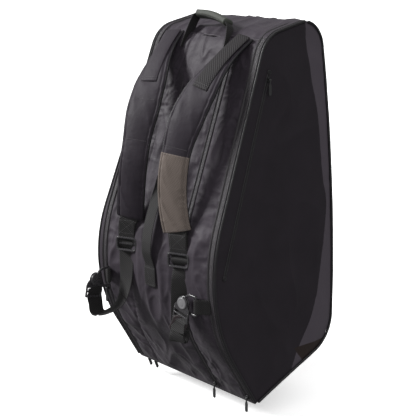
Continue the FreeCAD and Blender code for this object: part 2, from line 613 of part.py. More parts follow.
# ---------------------------------------------------------------- swivel buckles
# Each one is drawn with its bar at the origin, reaching out along +X, its cap facing one way along Y.
BUCKLE = {
    "right": Placement(Vector(size("bar_x"), size("bar_y"), size("bar_z")), Rotation(Vector(0, 0, 1), 180)),
    "left": Placement(Vector(-size("bar_x"), size("bar_y"), size("bar_z")), Rotation(Vector(0, 0, 1), -90)),
}
d_half = size("d_height") / 2
d_thick = size("d_thickness")
rim_width = size("d_rim")
straight = size("d_straight")
plate = size("plate_thickness")
tabs = []
for side, sign in both_sides():
    facing = sign
    reach = size("d_reach")
    bar = rod("d_bar_" + side, "Sizes.bar_radius", "Sizes.d_height - %s" % OVER, Vector(0, 0, 0), "Z")
    bow_outer = rod("d_bow_outer_" + side, "Sizes.d_height / 2", "Sizes.d_thickness",
                    Vector(straight, 0, 0), "Y")
    bow_block = limits("d_bow_block_" + side, (0, -d_thick / 2, -d_half), (straight, d_thick / 2, d_half))
    bow_inner = rod("d_bow_inner_" + side, "Sizes.d_height / 2 - Sizes.d_rim",
                    "Sizes.d_thickness + %s" % OVER, Vector(straight - 1, 0, 0), "Y")
    window = limits("d_window_" + side, (-OVER, -d_thick, rim_width - d_half),
                    (straight - 1, d_thick, d_half - rim_width))
    bow_trim = limits("d_bow_trim_" + side, (-d_half, -d_thick, -d_half), (0, d_thick, d_half))
    bow = cut("d_bow_" + side, fuse("d_bow_solid_" + side, [bow_outer, bow_block]),
              fuse("d_bow_holes_" + side, [bow_inner, window, bow_trim]))
    boss = rod("d_boss_" + side, "Sizes.boss_radius", "Sizes.d_thickness", Vector(reach, 0, 0), "Y")
    rivet_length = d_thick / 2 + CLEAR + plate + CLEAR
    rivet = rod("d_rivet_" + side, "Sizes.rivet_radius", "%.3f" % rivet_length,
                Vector(reach, facing * rivet_length / 2, 0), "Y")
    finish(fuse("d_loop_" + side + "_all", [bar, bow, boss, rivet]), "d_loop_" + side, BUCKLE[side])

    cap_y = facing * (rivet_length + size("cap_thickness") / 2)
    cap = rod("cap_" + side, "Sizes.cap_radius", "Sizes.cap_thickness", Vector(reach, cap_y, 0), "Y")
    finish(cap, "swivel_cap_" + side, BUCKLE[side].multiply(cap.Placement))

    plate_y = facing * (d_thick / 2 + CLEAR + plate / 2)
    disc = rod("swivel_disc_" + side, "Sizes.boss_radius", "Sizes.plate_thickness",
               Vector(reach, plate_y, 0), "Y")
    drop = size("swivel_drop")
    ladder = box("swivel_ladder_" + side, "Sizes.swivel_width", "Sizes.plate_thickness",
                 "Sizes.swivel_drop - Sizes.ladder_top",
                 Vector(reach, plate_y, -(drop + size("ladder_top")) / 2))
    holes = [rod("swivel_eye_" + side, "Sizes.rivet_radius + %.2f" % RUNNING,
                 "Sizes.plate_thickness + %s" % OVER, Vector(reach, plate_y, 0), "Y")]
    for rise in ("low_slot_rise", "high_slot_rise"):
        holes.append(box("swivel_%s_%s" % (rise, side), "Sizes.swivel_width - 6",
                         "Sizes.plate_thickness + %s" % OVER, "Sizes.ladder_slot",
                         Vector(reach, plate_y, size(rise) - drop)))
    swivel = cut("swivel_" + side, fuse("swivel_solid_" + side, [disc, ladder]),
                 fuse("swivel_holes_" + side, holes))
    turn = Placement(Vector(), Rotation(Vector(0, 1, 0), facing * size("swivel_turn")), Vector(reach, 0, 0))
    finish(swivel, "swivel_frame_" + side, BUCKLE[side].multiply(turn))

    eye = rod("tab_eye_" + side, "Sizes.bar_radius + Sizes.tab_eye_wall", "Sizes.tab_height",
              Vector(sign * size("bar_x"), size("bar_y"), size("bar_z")), "Z")
    bore = rod("tab_bore_" + side, "Sizes.bar_radius + Sizes.bar_clearance", "Sizes.d_height",
               Vector(sign * size("bar_x"), size("bar_y"), size("bar_z")), "Z")
    foot_point = Vector(sign * size("tab_foot_x"), curve_y(size("bar_z")) - 1, size("bar_z"))
    eye_point = Vector(sign * (size("bar_x") + 4), size("bar_y") + 1, size("bar_z"))
    run = foot_point - eye_point
    tongue = box("tab_tongue_" + side, "%.3f" % run.Length, "Sizes.tab_thickness", "Sizes.tab_height",
                 (foot_point + eye_point) * 0.5,
                 Rotation(Vector(0, 0, 1), math.degrees(math.atan2(run.y, run.x))))
    tab_all = fuse("tab_all_" + side, [eye, tongue])
    tab_open = cut("tab_open_" + side, tab_all, bore)
    tabs.append(cut("tab_seated_" + side, tab_open, block))
finish(fuse("tab_pair", tabs), "swivel_tabs")

# ---------------------------------------------------------------- zip sliders and pulls
SLANT = math.degrees(math.atan2(-size("front_corner_y"), size("front_corner_z")))


def slider_and_pull(name, place, hang):
    """A slider whose base lies on the zip, and a pull that hangs from its cross pin.

    The slider is drawn with the zip along Z and its outside along +Y; hang is the pull's
    own turn about the pin, which lies along X.
    """
    high = size("pivot_height")
    base = box(name + "_base", "Sizes.slider_width", "Sizes.slider_height", "Sizes.slider_length",
               Vector(0, CLEAR + size("slider_height") / 2, 0))
    posts = []
    for end in (-1, 1):
        posts.append(box(name + "_post_%d" % (end + 1), "Sizes.post_width",
                         "Sizes.pivot_height - Sizes.slider_height + Sizes.pin_radius", "Sizes.post_depth",
                         Vector(end * size("post_x"), CLEAR + (high + size("slider_height")) / 2, 0)))
    pin = rod(name + "_pin", "Sizes.pin_radius", "Sizes.pin_length", Vector(0, high, 0), "X")
    finish(fuse(name + "_slider_all", [base, pin] + posts), "slider_" + name, place)

    knuckle = rod(name + "_knuckle", "Sizes.pin_radius + Sizes.knuckle_wall", "Sizes.knuckle_width",
                  Vector(0, 0, 0), "X")
    neck_end = size("neck_length") + 1
    neck = box(name + "_neck", "Sizes.knuckle_width", "Sizes.pull_thickness", str(neck_end),
               Vector(0, 0, -neck_end / 2))
    grip = box(name + "_grip", "Sizes.pull_width", "Sizes.pull_thickness",
               "Sizes.pull_length - Sizes.neck_length",
               Vector(0, 0, -(size("pull_length") + size("neck_length")) / 2))
    hole = rod(name + "_hole", "Sizes.pin_radius + %.2f" % RUNNING, "Sizes.pull_width",
               Vector(0, 0, 0), "X")
    pull = cut(name + "_pull_all", fuse(name + "_pull_solid", [knuckle, neck, grip]), hole)
    at_pin = Placement(Vector(0, high, 0), Rotation(Vector(1, 0, 0), hang))
    finish(pull, "pull_" + name, place.multiply(at_pin))


def on_front(x, point, angle):
    """Placement of a slider on the strap face; angle is the zip's lean from upright."""
    spin = Rotation(Vector(1, 0, 0), angle).multiply(Rotation(Vector(0, 0, 1), 180))
    return Placement(Vector(x, point[0], point[1]), spin)


def main_zip_x(z):
    """Middle of a main zip at a height above the keel."""
    return side_face_x(z) - size("side_panel") - size("fit_gap") - size("main_zip_width") / 2


def on_pocket(sign, down):
    """Placement of a slider on a pocket zip, at a distance down from the zip's top end."""
    along = pocket_rise.Length
    z = size("pocket_top_z") - down * pocket_rise.z / along
    y = size("pocket_top_y") - down * pocket_rise.y / along
    out = side_face_x(z) + size("pocket_zip_height") + LEAN_CLEAR
    return Placement(Vector(sign * out, y, z), Rotation(Vector(0, 0, 1), -90 * sign))


slant_point = Vector(size("front_corner_y"), size("front_corner_z"), 0).normalize() * size("slider_rest")
slider_and_pull("main_right", on_front(main_zip_x(slant_point.y), slant_point, SLANT), SLANT)
slider_and_pull("middle", on_front(middle_x + middle_zip / 2, slant_point, SLANT), SLANT)

rest_z = size("main_left_z")
curve_angle = -math.degrees(math.asin((rest_z - CURVE_Z) / size("front_radius")))
curve_point = (curve_y(rest_z), rest_z)
slider_and_pull("main_left", on_front(-main_zip_x(rest_z), curve_point, curve_angle), curve_angle)

for name, sign in (("pocket_right", 1), ("pocket_left", -1)):
    slider_and_pull(name, on_pocket(sign, size("pocket_slider_rest")), 0)

low_slope = Vector(0, size("rear_y"), size("low_rear_z")).normalize()
downward = low_slope.cross(Vector(1, 0, 0))
keel_zip_middle = (size("keel_zip_y") + size("keel_zip_width") / 2) / low_slope.y
for name, x in (("keel_outer", size("keel_outer_x")), ("keel_inner", size("keel_inner_x"))):
    spin = Rotation(Vector(0, 0, 0), downward, Vector(1, 0, 0), "ZYX")
    slider_and_pull(name, Placement(low_slope * keel_zip_middle + Vector(x, 0, 0), spin), 90)

# ---------------------------------------------------------------- checks and files
doc.recompute()
for obj in doc.Objects:
    if "Invalid" in obj.State or "Error" in obj.State:
        raise RuntimeError("failed object: " + obj.Name)
for obj in PARTS:
    if obj.Shape.isNull() or not obj.Shape.isValid() or obj.Shape.Volume <= 0:
        raise RuntimeError("bad shape: " + obj.Label)
    obj.Shape.exportStep("parts/%s.step" % obj.Label)
print(len(PARTS), "parts written")
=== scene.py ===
"""Racket tournament bag hung from its grab handle: sewn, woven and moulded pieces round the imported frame.

Lengths inside a section are millimetres from the keel, the sharp lower edge: X to the right-hand
side panel, Y to the rear face, Z up. placed() turns them into metres from the middle of the grip.
"""

import bpy
import numpy as np
from mathutils import Matrix, Vector


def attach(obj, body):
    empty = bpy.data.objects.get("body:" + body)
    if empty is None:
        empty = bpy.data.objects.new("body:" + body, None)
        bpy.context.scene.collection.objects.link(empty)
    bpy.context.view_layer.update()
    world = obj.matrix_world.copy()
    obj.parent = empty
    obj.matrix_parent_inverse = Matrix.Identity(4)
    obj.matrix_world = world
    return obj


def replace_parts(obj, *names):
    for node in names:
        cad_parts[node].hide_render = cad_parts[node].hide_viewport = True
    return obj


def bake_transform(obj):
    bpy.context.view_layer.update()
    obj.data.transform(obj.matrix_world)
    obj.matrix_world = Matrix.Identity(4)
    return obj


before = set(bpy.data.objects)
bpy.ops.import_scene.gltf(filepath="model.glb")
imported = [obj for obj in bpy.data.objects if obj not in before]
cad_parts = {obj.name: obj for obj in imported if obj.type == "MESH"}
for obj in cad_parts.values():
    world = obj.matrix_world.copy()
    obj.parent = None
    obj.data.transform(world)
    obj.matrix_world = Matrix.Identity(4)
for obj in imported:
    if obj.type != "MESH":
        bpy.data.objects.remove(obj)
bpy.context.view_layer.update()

# ------------------------------------------------------------ sewn shell: strap face and gussets
# The strap face, its two gussets and the round front are polyester cloth over thin foam, sewn
# panel to panel. The cloth is gathered into the long seams, so it puckers beside them and hangs
# in loose folds between them.


def placed(points):
    """Millimetres from the keel become metres from the middle of the grip: (p - (0, 72, 785)) / 1000."""
    return (np.asarray(points, float) - (0.0, 72.0, 785.0)) / 1000.0


def smooth_step(t):
    """0 below t = 0, 1 above t = 1, and 3t^2 - 2t^3 between them."""
    t = np.clip(t, 0.0, 1.0)
    return t * t * (3.0 - 2.0 * t)


def loose_noise(a, b, seed):
    """Smooth noise from -1 to 1: random heights on whole numbers of a and b, joined by 3t^2 - 2t^3."""
    table = np.random.RandomState(seed).uniform(-1.0, 1.0, (64, 64))
    i, j = np.floor(a).astype(int), np.floor(b).astype(int)
    s, t = smooth_step(a - i), smooth_step(b - j)
    near = table[i % 64, j % 64] * (1 - s) + table[(i + 1) % 64, j % 64] * s
    far = table[i % 64, (j + 1) % 64] * (1 - s) + table[(i + 1) % 64, (j + 1) % 64] * s
    return near * (1 - t) + far * t


def creases(a, b, seed, sharp=2.5):
    """Folds of cloth: (1 - |noise|)^sharp, so each zero line of the noise becomes a ridge. a and b
    are bent first by a slower noise, so that the ridges wander."""
    bend_a = loose_noise(a * 0.6 + 7.1, b * 0.6, seed + 1)
    bend_b = loose_noise(a * 0.6, b * 0.6 + 3.3, seed + 2)
    ridge = 1.0 - np.abs(loose_noise(a + 0.7 * bend_a, b + 0.7 * bend_b, seed))
    return ridge ** sharp


def arc_points(centre, radius, start, end, count=60):
    """Points (y, z) on a circle: centre + radius (cos a, sin a), with a running from start to end."""
    a0 = np.arctan2(start[1] - centre[1], start[0] - centre[0])
    a1 = np.arctan2(end[1] - centre[1], end[0] - centre[0])
    a1 = a0 + (a1 - a0 + np.pi) % (2 * np.pi) - np.pi
    a = np.linspace(a0, a1, count)
    return np.stack([centre[0] + radius * np.cos(a), centre[1] + radius * np.sin(a)], axis=-1)


def even_steps(points, spacing):
    """The same line with points at equal steps: each coordinate read off against the length so far."""
    points = np.asarray(points, float)
    run = np.concatenate([[0.0], np.cumsum(np.linalg.norm(np.diff(points, axis=0), axis=1))])
    count = max(2, int(round(run[-1] / spacing)) + 1)
    at = np.linspace(0.0, run[-1], count)
    return np.stack([np.interp(at, run, points[:, k]) for k in range(points.shape[1])], axis=-1), at


# the bag seen from the side: keel, round front, strap face, top, rear face and lower slant
outline = np.concatenate([
    [(0.0, 0.0)],
    arc_points((220.74, 277.67), 330.0, (-65.05, 112.67), (-86.11, 399.11)),
    arc_points((107.17, 697.26), 70.0, (42.08, 723.01), (94.69, 766.13)),
    arc_points((172.0, 719.16), 60.0, (161.31, 778.2), (232.0, 719.16)),
    arc_points((152.0, 143.22), 80.0, (232.0, 143.22), (180.37, 68.42)),
    [(0.0, 0.0)]])
profile, profile_run = even_steps(outline, 1.5)


def on_profile(s):
    """Point (y, z) and outward direction at a distance s along the outline, up the front from the keel.

    The outward direction is the tangent (dy, dz) turned a quarter: (-dz, dy) / length.
    """
    point = np.stack([np.interp(s, profile_run, profile[:, k]) for k in (0, 1)], axis=-1)
    step = 4.0
    ahead = np.stack([np.interp(s + step, profile_run, profile[:, k]) for k in (0, 1)], axis=-1)
    back = np.stack([np.interp(s - step, profile_run, profile[:, k]) for k in (0, 1)], axis=-1)
    tangent = ahead - back
    tangent /= np.linalg.norm(tangent, axis=-1, keepdims=True)
    return point, np.stack([-tangent[..., 1], tangent[..., 0]], axis=-1)


both_sides = (("right", 1.0), ("left", -1.0))
pocket_foot, pocket_top = np.array([-80.0, 300.0]), np.array([62.0, 684.0])
pocket_way = pocket_top - pocket_foot


def even_half_width(z):
    """Half the width of the bag before it is filled: 185 mm at the keel, less 0.036 z."""
    return 185.0 - 0.036 * z


def pocket_line(z):
    """y of the pocket zip at height z, on the straight line from its foot to its top."""
    return pocket_foot[0] + (z - pocket_foot[1]) * pocket_way[0] / pocket_way[1]


def half_width(y, z):
    """Half the filled bag's width: behind the pocket zip it swells by up to 21 mm, by the product
    of a step in y and the parabola 1 - ((z - 320) / 400)^2."""
    pocket_y = np.maximum(pocket_line(z), -72.0)
    behind_pocket = smooth_step((y - pocket_y - 22.0) / (205.0 - pocket_y))
    return even_half_width(z) + 21.0 * behind_pocket * np.clip(1.0 - ((z - 320.0) / 400.0) ** 2, 0, 1)


def left_fringe(y, z):
    """How far the front edge of the left side stands out: 10 exp(-((z - 275) / 170)^2)."""
    return 10.0 * np.exp(-((z - 275.0) / 170.0) ** 2) * smooth_step((60.0 - y) / 110.0)


middle_of_bag = np.array([0.0, 90.0, 400.0])


def build(name, surfaces, material, body=None):
    """One mesh from several grids of points in millimetres.

    Each grid is (points, closed, capped, uv): rows run along the piece and columns round or
    across it, and every cell of the grid is one quad. closed joins the last column to the first,
    and capped closes the first and the last row with a face. uv, where none is given, is the
    length along the rows and across the columns, in metres.
    """
    places, faces, starts, corner_uv = [], [], [], []
    offset = loops = 0
    for points, closed, capped, uv in surfaces:
        rows, columns = points.shape[:2]
        index = np.arange(rows * columns).reshape(rows, columns)
        ring = np.concatenate([points, points[:, :1]], axis=1) if closed else points
        if uv is None:
            along = np.linalg.norm(np.diff(points, axis=0), axis=2).mean(axis=1)
            across = np.linalg.norm(np.diff(ring, axis=1), axis=2).mean(axis=0)
            along = np.concatenate([[0.0], np.cumsum(along)]) / 1000.0
            across = np.concatenate([[0.0], np.cumsum(across)]) / 1000.0
            uv = np.stack(np.broadcast_arrays(along[:, None], across[None, :]), axis=-1)
        if closed:
            index = np.concatenate([index, index[:, :1]], axis=1)
        low, high = slice(None, -1), slice(1, None)
        corners = (low, low), (high, low), (high, high), (low, high)
        quads = np.stack([index[c] for c in corners], axis=-1).reshape(-1, 4)
        quad_uv = np.stack([uv[c] for c in corners], axis=2).reshape(-1, 4, 2)
        a, b, c = (points.reshape(-1, 3)[quads[:, k]] for k in (0, 1, 2))
        inside = points.reshape(-1, 3).mean(axis=0) if closed else middle_of_bag
        volume = np.einsum("ij,ij->i", a - inside, np.cross(b - a, c - a)).sum()
        first, last = (capped, capped) if isinstance(capped, bool) else capped
        ends = [index[0, :columns]] * first + [index[-1, :columns][::-1]] * last
        if volume < 0:
            quads, quad_uv = quads[:, ::-1], quad_uv[:, ::-1]
            ends = [end[::-1] for end in ends]
        starts.append(loops + np.arange(len(quads)) * 4)
        loops += 4 * len(quads)
        faces.append(quads.ravel() + offset)
        corner_uv.append(quad_uv.reshape(-1, 2))
        for end in ends:
            starts.append(np.array([loops]))
            loops += len(end)
            faces.append(end + offset)
            corner_uv.append(np.tile(quad_uv[0, 0], (len(end), 1)))
        places.append(points.reshape(-1, 3))
        offset += rows * columns
    places, faces, starts = np.concatenate(places), np.concatenate(faces), np.concatenate(starts)
    mesh = bpy.data.meshes.new(name)
    mesh.vertices.add(len(places))
    mesh.vertices.foreach_set("co", placed(places).astype(np.float32).ravel())
    mesh.loops.add(len(faces))
    mesh.loops.foreach_set("vertex_index", faces.astype(np.int32))
    mesh.polygons.add(len(starts))
    mesh.polygons.foreach_set("loop_start", starts.astype(np.int32))
    uv_layer = mesh.uv_layers.new(name="UVMap")
    uv_layer.data.foreach_set("uv", np.concatenate(corner_uv).astype(np.float32).ravel())
    mesh.update(calc_edges=True)
    mesh.validate()
    mesh.shade_smooth()
    mesh.materials.append(material)
    piece = bpy.data.objects.new(name, mesh)
    bpy.context.scene.collection.objects.link(piece)
    if body is not None:
        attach(piece, body)
    return piece


def new_group(name, inputs, outputs):
    """An empty shader group with its sockets; returns the group, its input node and its output node."""
    group = bpy.data.node_groups.new(name, "ShaderNodeTree")
    for label, kind, value in inputs:
        socket = group.interface.new_socket(label, in_out="INPUT", socket_type=kind)
        if value is not None:
            socket.default_value = value
    for label, kind in outputs:
        group.interface.new_socket(label, in_out="OUTPUT", socket_type=kind)
    return group, group.nodes.new("NodeGroupInput"), group.nodes.new("NodeGroupOutput")


def maths(tree, operation, *values):
    """A Math node; each value is a number or another node's socket."""
    node = tree.nodes.new("ShaderNodeMath")
    node.operation = operation
    for k, value in enumerate(values):
        if isinstance(value, (int, float)):
            node.inputs[k].default_value = value
        else:
            tree.links.new(value, node.inputs[k])
    return node.outputs[0]


# plain weave: warp sin(2 pi u / pitch) and weft sin(2 pi v / pitch) take turns to lie on top; Shade is
# that height as a colour share, painted shade in the dips between threads and painted highlight on their tops
weave_group, weave_in, weave_out = new_group(
    "plain_weave", [("UV", "NodeSocketVector", None), ("Pitch", "NodeSocketFloat", 0.0012)],
    [("Height", "NodeSocketFloat"), ("Shade", "NodeSocketFloat")])
weave_scale = weave_group.nodes.new("ShaderNodeVectorMath")
weave_scale.operation = "SCALE"
weave_group.links.new(weave_in.outputs["UV"], weave_scale.inputs[0])
turns_per_metre = maths(weave_group, "DIVIDE", 6.2832, weave_in.outputs["Pitch"])
weave_group.links.new(turns_per_metre, weave_scale.inputs["Scale"])
weave_parts = weave_group.nodes.new("ShaderNodeSeparateXYZ")
weave_group.links.new(weave_scale.outputs[0], weave_parts.inputs[0])
weave_height = maths(weave_group, "MULTIPLY", maths(weave_group, "SINE", weave_parts.outputs[0]),
                     maths(weave_group, "SINE", weave_parts.outputs[1]))
weave_group.links.new(weave_height, weave_out.inputs["Height"])
weave_group.links.new(maths(weave_group, "MULTIPLY_ADD", weave_height, 0.5, 0.5), weave_out.inputs["Shade"])

# handling marks: slow blotches of wear and the small crumples between the large folds
handling_group, handling_in, handling_out = new_group(
    "handling", [("Blotch Scale", "NodeSocketFloat", 14.0), ("Crumple Scale", "NodeSocketFloat", 75.0)],
    [("Wear", "NodeSocketFloat"), ("Crumple", "NodeSocketFloat")])
handling_place = handling_group.nodes.new("ShaderNodeTexCoord")
for label, scale, detail, rough in (("Wear", "Blotch Scale", 4.0, 0.6),
                                    ("Crumple", "Crumple Scale", 3.0, 0.55)):
    noise = handling_group.nodes.new("ShaderNodeTexNoise")
    noise.inputs["Detail"].default_value = detail
    noise.inputs["Roughness"].default_value = rough
    handling_group.links.new(handling_place.outputs["Object"], noise.inputs["Vector"])
    handling_group.links.new(handling_in.outputs[scale], noise.inputs["Scale"])
    handling_group.links.new(noise.outputs["Fac"], handling_out.inputs[label])


def finish_of(name, blotch_scale, crumple_scale):
    """A new material with its shader and its handling marks."""
    material = bpy.data.materials.new(name)
    material.use_nodes = True
    tree = material.node_tree
    marks = tree.nodes.new("ShaderNodeGroup")
    marks.node_tree = handling_group
    marks.inputs["Blotch Scale"].default_value = blotch_scale
    marks.inputs["Crumple Scale"].default_value = crumple_scale
    return material, tree, tree.nodes["Principled BSDF"], marks.outputs


def dyed(tree, share, first, second):
    """Colour (1 - share) x first + share x second; first is a colour or another node's socket."""
    mix = tree.nodes.new("ShaderNodeMix")
    mix.data_type = "RGBA"
    if isinstance(first, tuple):
        mix.inputs["A"].default_value = (*first, 1)
    else:
        tree.links.new(first, mix.inputs["A"])
    mix.inputs["B"].default_value = (*second, 1)
    tree.links.new(share, mix.inputs["Factor"])
    return mix.outputs["Result"]


def embossed(tree, shader, height, distance, strength):
    """Tilts the shading by a height; distance is in metres."""
    bump = tree.nodes.new("ShaderNodeBump")
    bump.inputs["Distance"].default_value = distance
    bump.inputs["Strength"].default_value = strength
    tree.links.new(height, bump.inputs["Height"])
    tree.links.new(bump.outputs[0], shader.inputs["Normal"])


def cloth(name, dark, light, roughness, pitch=0.0012, weave=0.03, crumple=0.5, sheen=0.04,
          crumple_scale=75.0, specular=0.225, thread_shade_share=0.35):
    """Woven polyester: colour runs from dark to light with painted shade in the weave's dips, weighted
    by thread_shade_share, and with the wear, and the bump is weave x the thread height plus crumple x
    the small folds."""
    material, tree, shader, marks = finish_of(name, 14.0, crumple_scale)
    uv = tree.nodes.new("ShaderNodeUVMap")
    uv.uv_map = "UVMap"
    threads = tree.nodes.new("ShaderNodeGroup")
    threads.node_tree = weave_group
    threads.inputs["Pitch"].default_value = pitch
    tree.links.new(uv.outputs[0], threads.inputs["UV"])
    # colour share: the thread height as painted shade and painted highlight, plus the wear blotches
    share = maths(tree, "ADD", maths(tree, "MULTIPLY", threads.outputs["Shade"], thread_shade_share),
                  maths(tree, "MULTIPLY", marks["Wear"], 1.1 - thread_shade_share))
    tree.links.new(dyed(tree, share, dark, light), shader.inputs["Base Color"])
    rough = maths(tree, "MULTIPLY_ADD", marks["Wear"], 0.16, roughness - 0.08)
    tree.links.new(rough, shader.inputs["Roughness"])
    height = maths(tree, "ADD", maths(tree, "MULTIPLY", threads.outputs["Height"], weave),
                   maths(tree, "MULTIPLY", marks["Crumple"], crumple))
    embossed(tree, shader, height, 0.0016, 0.6)
    shader.inputs["Sheen Weight"].default_value = sheen
    shader.inputs["Sheen Roughness"].default_value = 0.45
    shader.inputs["Specular IOR Level"].default_value = specular
    return material


shell_cloth = cloth("charcoal_polyester", (0.0140, 0.0110, 0.0155), (0.042, 0.0335, 0.0445), 0.60,
                    sheen=0.048, crumple=1.5, crumple_scale=48.0, specular=0.225)

# the seams of the strap face: x of the left-hand seam at each height, and the gathered cross seam
left_seam_z = (-10.0, 20.0, 44.0, 70.0, 96.0, 130.0, 172.0, 300.0, 450.0, 617.0, 667.0, 724.0, 780.0)
left_seam_x = (-114.0, -113.0, -112.0, -110.5, -107.0, -97.0, -87.0, -79.0, -75.0, -72.0, -57.0, -45.0, -38.0)
gather_x = (-90.0, -74.0, -54.0, -20.0, 18.0, 72.0)
gather_z = (598.0, 617.0, 636.0, 643.0, 646.0, 640.0)
middle_zip_x, webbing_x = 78.0, 84.0


def ease_between(x, xs, values):
    """Values at the points xs, joined in straight lines and rounded by averaging over 36 mm."""
    spread = np.linspace(-18.0, 18.0, 9)
    return np.mean([np.interp(x + d, xs, values) for d in spread], axis=0)


def valley(distance, width):
    """The dip of a seam: -exp(-(distance / width)^2)."""
    return -np.exp(-(distance / width) ** 2)


def beside(distance, reach, clear=3.0):
    """Strength of the puckers beside a seam: exp(-|d| / reach) (1 - exp(-|d| / clear))."""
    return np.exp(-np.abs(distance) / reach) * (1.0 - np.exp(-np.abs(distance) / clear))


def front_offset(x, s, z, side_x):
    """How far the cloth stands off the drawn outline, in mm.

    The sum of a slow bulge, puckers that run away from each seam and die out as
    exp(-distance / reach), wandering folds, and the dips of the seams themselves. It is held
    near zero along the zips and where the loose webbing lies.
    """
    seam_left = x - ease_between(z, left_seam_z, left_seam_x)
    seam_middle = np.abs(x - middle_zip_x) - 7.0
    seam_edge = side_x - 20.0 - np.abs(x)
    cross_seam = np.where((x > np.interp(z, left_seam_z, left_seam_x)) & (x < middle_zip_x - 6.0),
                          z - np.interp(x, gather_x, gather_z), 900.0)
    away = np.minimum(np.minimum(np.abs(seam_left), np.abs(seam_middle)), np.maximum(seam_edge, 0.0))
    free = smooth_step(away / 24.0)
    bulge = 4.2 * free * np.sin(np.clip(s / 850.0, 0, 1) * np.pi) ** 0.6
    drift = loose_noise(s / 95.0, x / 70.0, 11)
    folds = 7.0 * (creases(s / 120.0 + x / 210.0, x / 46.0 - s / 300.0, 21, 3.0) - 0.3)
    fine = 3.4 * (creases(s / 46.0 - x / 60.0, x / 24.0 + s / 110.0, 31, 2.5) - 0.35)
    pucker = 0.0
    for number, distance in enumerate((seam_left, seam_middle, seam_edge)):
        reach = 15.0 + 7.0 * loose_noise(s / 40.0, distance * 0 + number, 41)
        ripple = creases(s / 13.0 + 0.5 * drift, distance / 60.0 + number * 9, 51 + number, 1.6)
        pucker = pucker + 5.0 * (ripple - 0.45) * beside(distance, reach)
    ripple = creases(x / 15.0, cross_seam / 90.0, 61, 1.5)
    pucker = pucker + 6.5 * (ripple - 0.45) * beside(cross_seam, np.where(cross_seam < 0, 42.0, 16.0))
    seams = 1.7 * valley(seam_left, 2.6) + 1.6 * valley(cross_seam, 2.8)
    lift = bulge + (folds + 1.6 * drift + fine) * (0.25 + 0.75 * free) + pucker
    webbing = smooth_step((np.abs(np.abs(x) - webbing_x) - 26.0) / 20.0)
    band = smooth_step((z - 130.0) / 30.0) * smooth_step((350.0 - z) / 30.0)
    cap = 3.0 + 7.0 * webbing * smooth_step((z - 20.0) / 60.0) + 7.0 * (1 - webbing) * (1 - band)
    lift = np.where(lift > 0, cap * np.tanh(lift / cap), lift)
    zip_strip = np.minimum(smooth_step(seam_middle / 5.0), smooth_step(seam_edge / 5.0))
    ends = smooth_step(s / 24.0)
    return (lift * zip_strip + seams) * ends - 0.35 * (1 - zip_strip)


piping_room = 3.2
front_end = 812.0


def sleeve(x, yz, out, lift):
    """Cloth carried round the outline: the point at x, moved outwards by lift."""
    return np.stack([x, yz[:, 0:1] + out[:, 0:1] * lift, yz[:, 1:2] + out[:, 1:2] * lift], axis=-1)


front_s = np.linspace(0.0, front_end, 272)
front_v = np.linspace(-1.0, 1.0, 124)[None, :]
front_yz, front_out = on_profile(front_s)
right_edge = half_width(front_yz[:, 0:1], front_yz[:, 1:2]) - piping_room
left_edge = right_edge + left_fringe(front_yz[:, 0:1], front_yz[:, 1:2])
front_x = front_v * np.where(front_v < 0, left_edge, right_edge)
front_lift = front_offset(front_x, front_s[:, None] + 0 * front_x, front_yz[:, 1:2] + 0 * front_x,
                          right_edge + piping_room)
front_grid = sleeve(front_x, front_yz, front_out, front_lift)
front_skin = build("front_skin", [(front_grid, False, False, None)], shell_cloth)


def wall(piece, thickness):
    """Gives a single surface its cloth and foam, inwards from the outer face."""
    shell = piece.modifiers.new("cloth_and_foam", "SOLIDIFY")
    shell.thickness = thickness / 1000.0
    shell.offset = -1.0
    return piece


wall(front_skin, 1.8)
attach(front_skin, "bag")
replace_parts(front_skin, "strap_face_panel", "front_gusset_left", "front_gusset_right")

# ------------------------------------------------------------ sewn shell: top, rear and lower slant
# One sleeve of the same cloth runs from the top over the flat rear face to the keel. It carries
# the bag's weight when it lies down, so its foam is firmer and it stays flatter than the front.
rear_start = 806.0
rear_s = np.linspace(rear_start, profile_run[-1], 216)
rear_yz, rear_out = on_profile(rear_s)
rear_half = half_width(rear_yz[:, 0:1], rear_yz[:, 1:2]) - piping_room
rear_x = np.linspace(-1.0, 1.0, 76)[None, :] * rear_half
rear_long = rear_s[:, None] + 0 * rear_x
from_edge = rear_half - np.abs(rear_x)
rear_edge = smooth_step(from_edge / 30.0)
rear_lift = 2.4 * rear_edge * (creases(rear_long / 130.0 + rear_x / 300.0, rear_x / 80.0, 71) - 0.3)
top_part = smooth_step((1000.0 - rear_long) / 40.0) * rear_edge
top_folds = creases(rear_long / 70.0 + rear_x / 150.0, rear_x / 38.0 - rear_long / 200.0, 77, 2.6) - 0.3
top_crumples = creases(rear_long / 30.0, rear_x / 22.0 + rear_long / 90.0, 79, 2.2) - 0.35
rear_lift += top_part * (4.2 * top_folds + 2.0 * top_crumples)
rear_lift += 1.1 * (creases(rear_long / 15.0, rear_x / 70.0, 73, 1.6) - 0.45) * np.exp(-from_edge / 16.0)
rear_ripple = creases(rear_x / 17.0, rear_long / 80.0, 75, 1.6) - 0.45
for seam in (front_end, 1002.0, 1640.0):
    rear_lift += 1.5 * valley(rear_long - seam, 3.0) + 1.6 * rear_ripple * beside(rear_long - seam, 18.0)
rear_lift *= smooth_step((profile_run[-1] - rear_long - 22.0) / 25.0)
rear_grid = sleeve(rear_x, rear_yz, rear_out, rear_lift)
rear_skin = wall(build("rear_skin", [(rear_grid, False, False, None)], shell_cloth), 1.8)
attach(rear_skin, "bag")
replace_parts(rear_skin, "rear_base_panel", "lower_slant_panel", "top_end_panel")
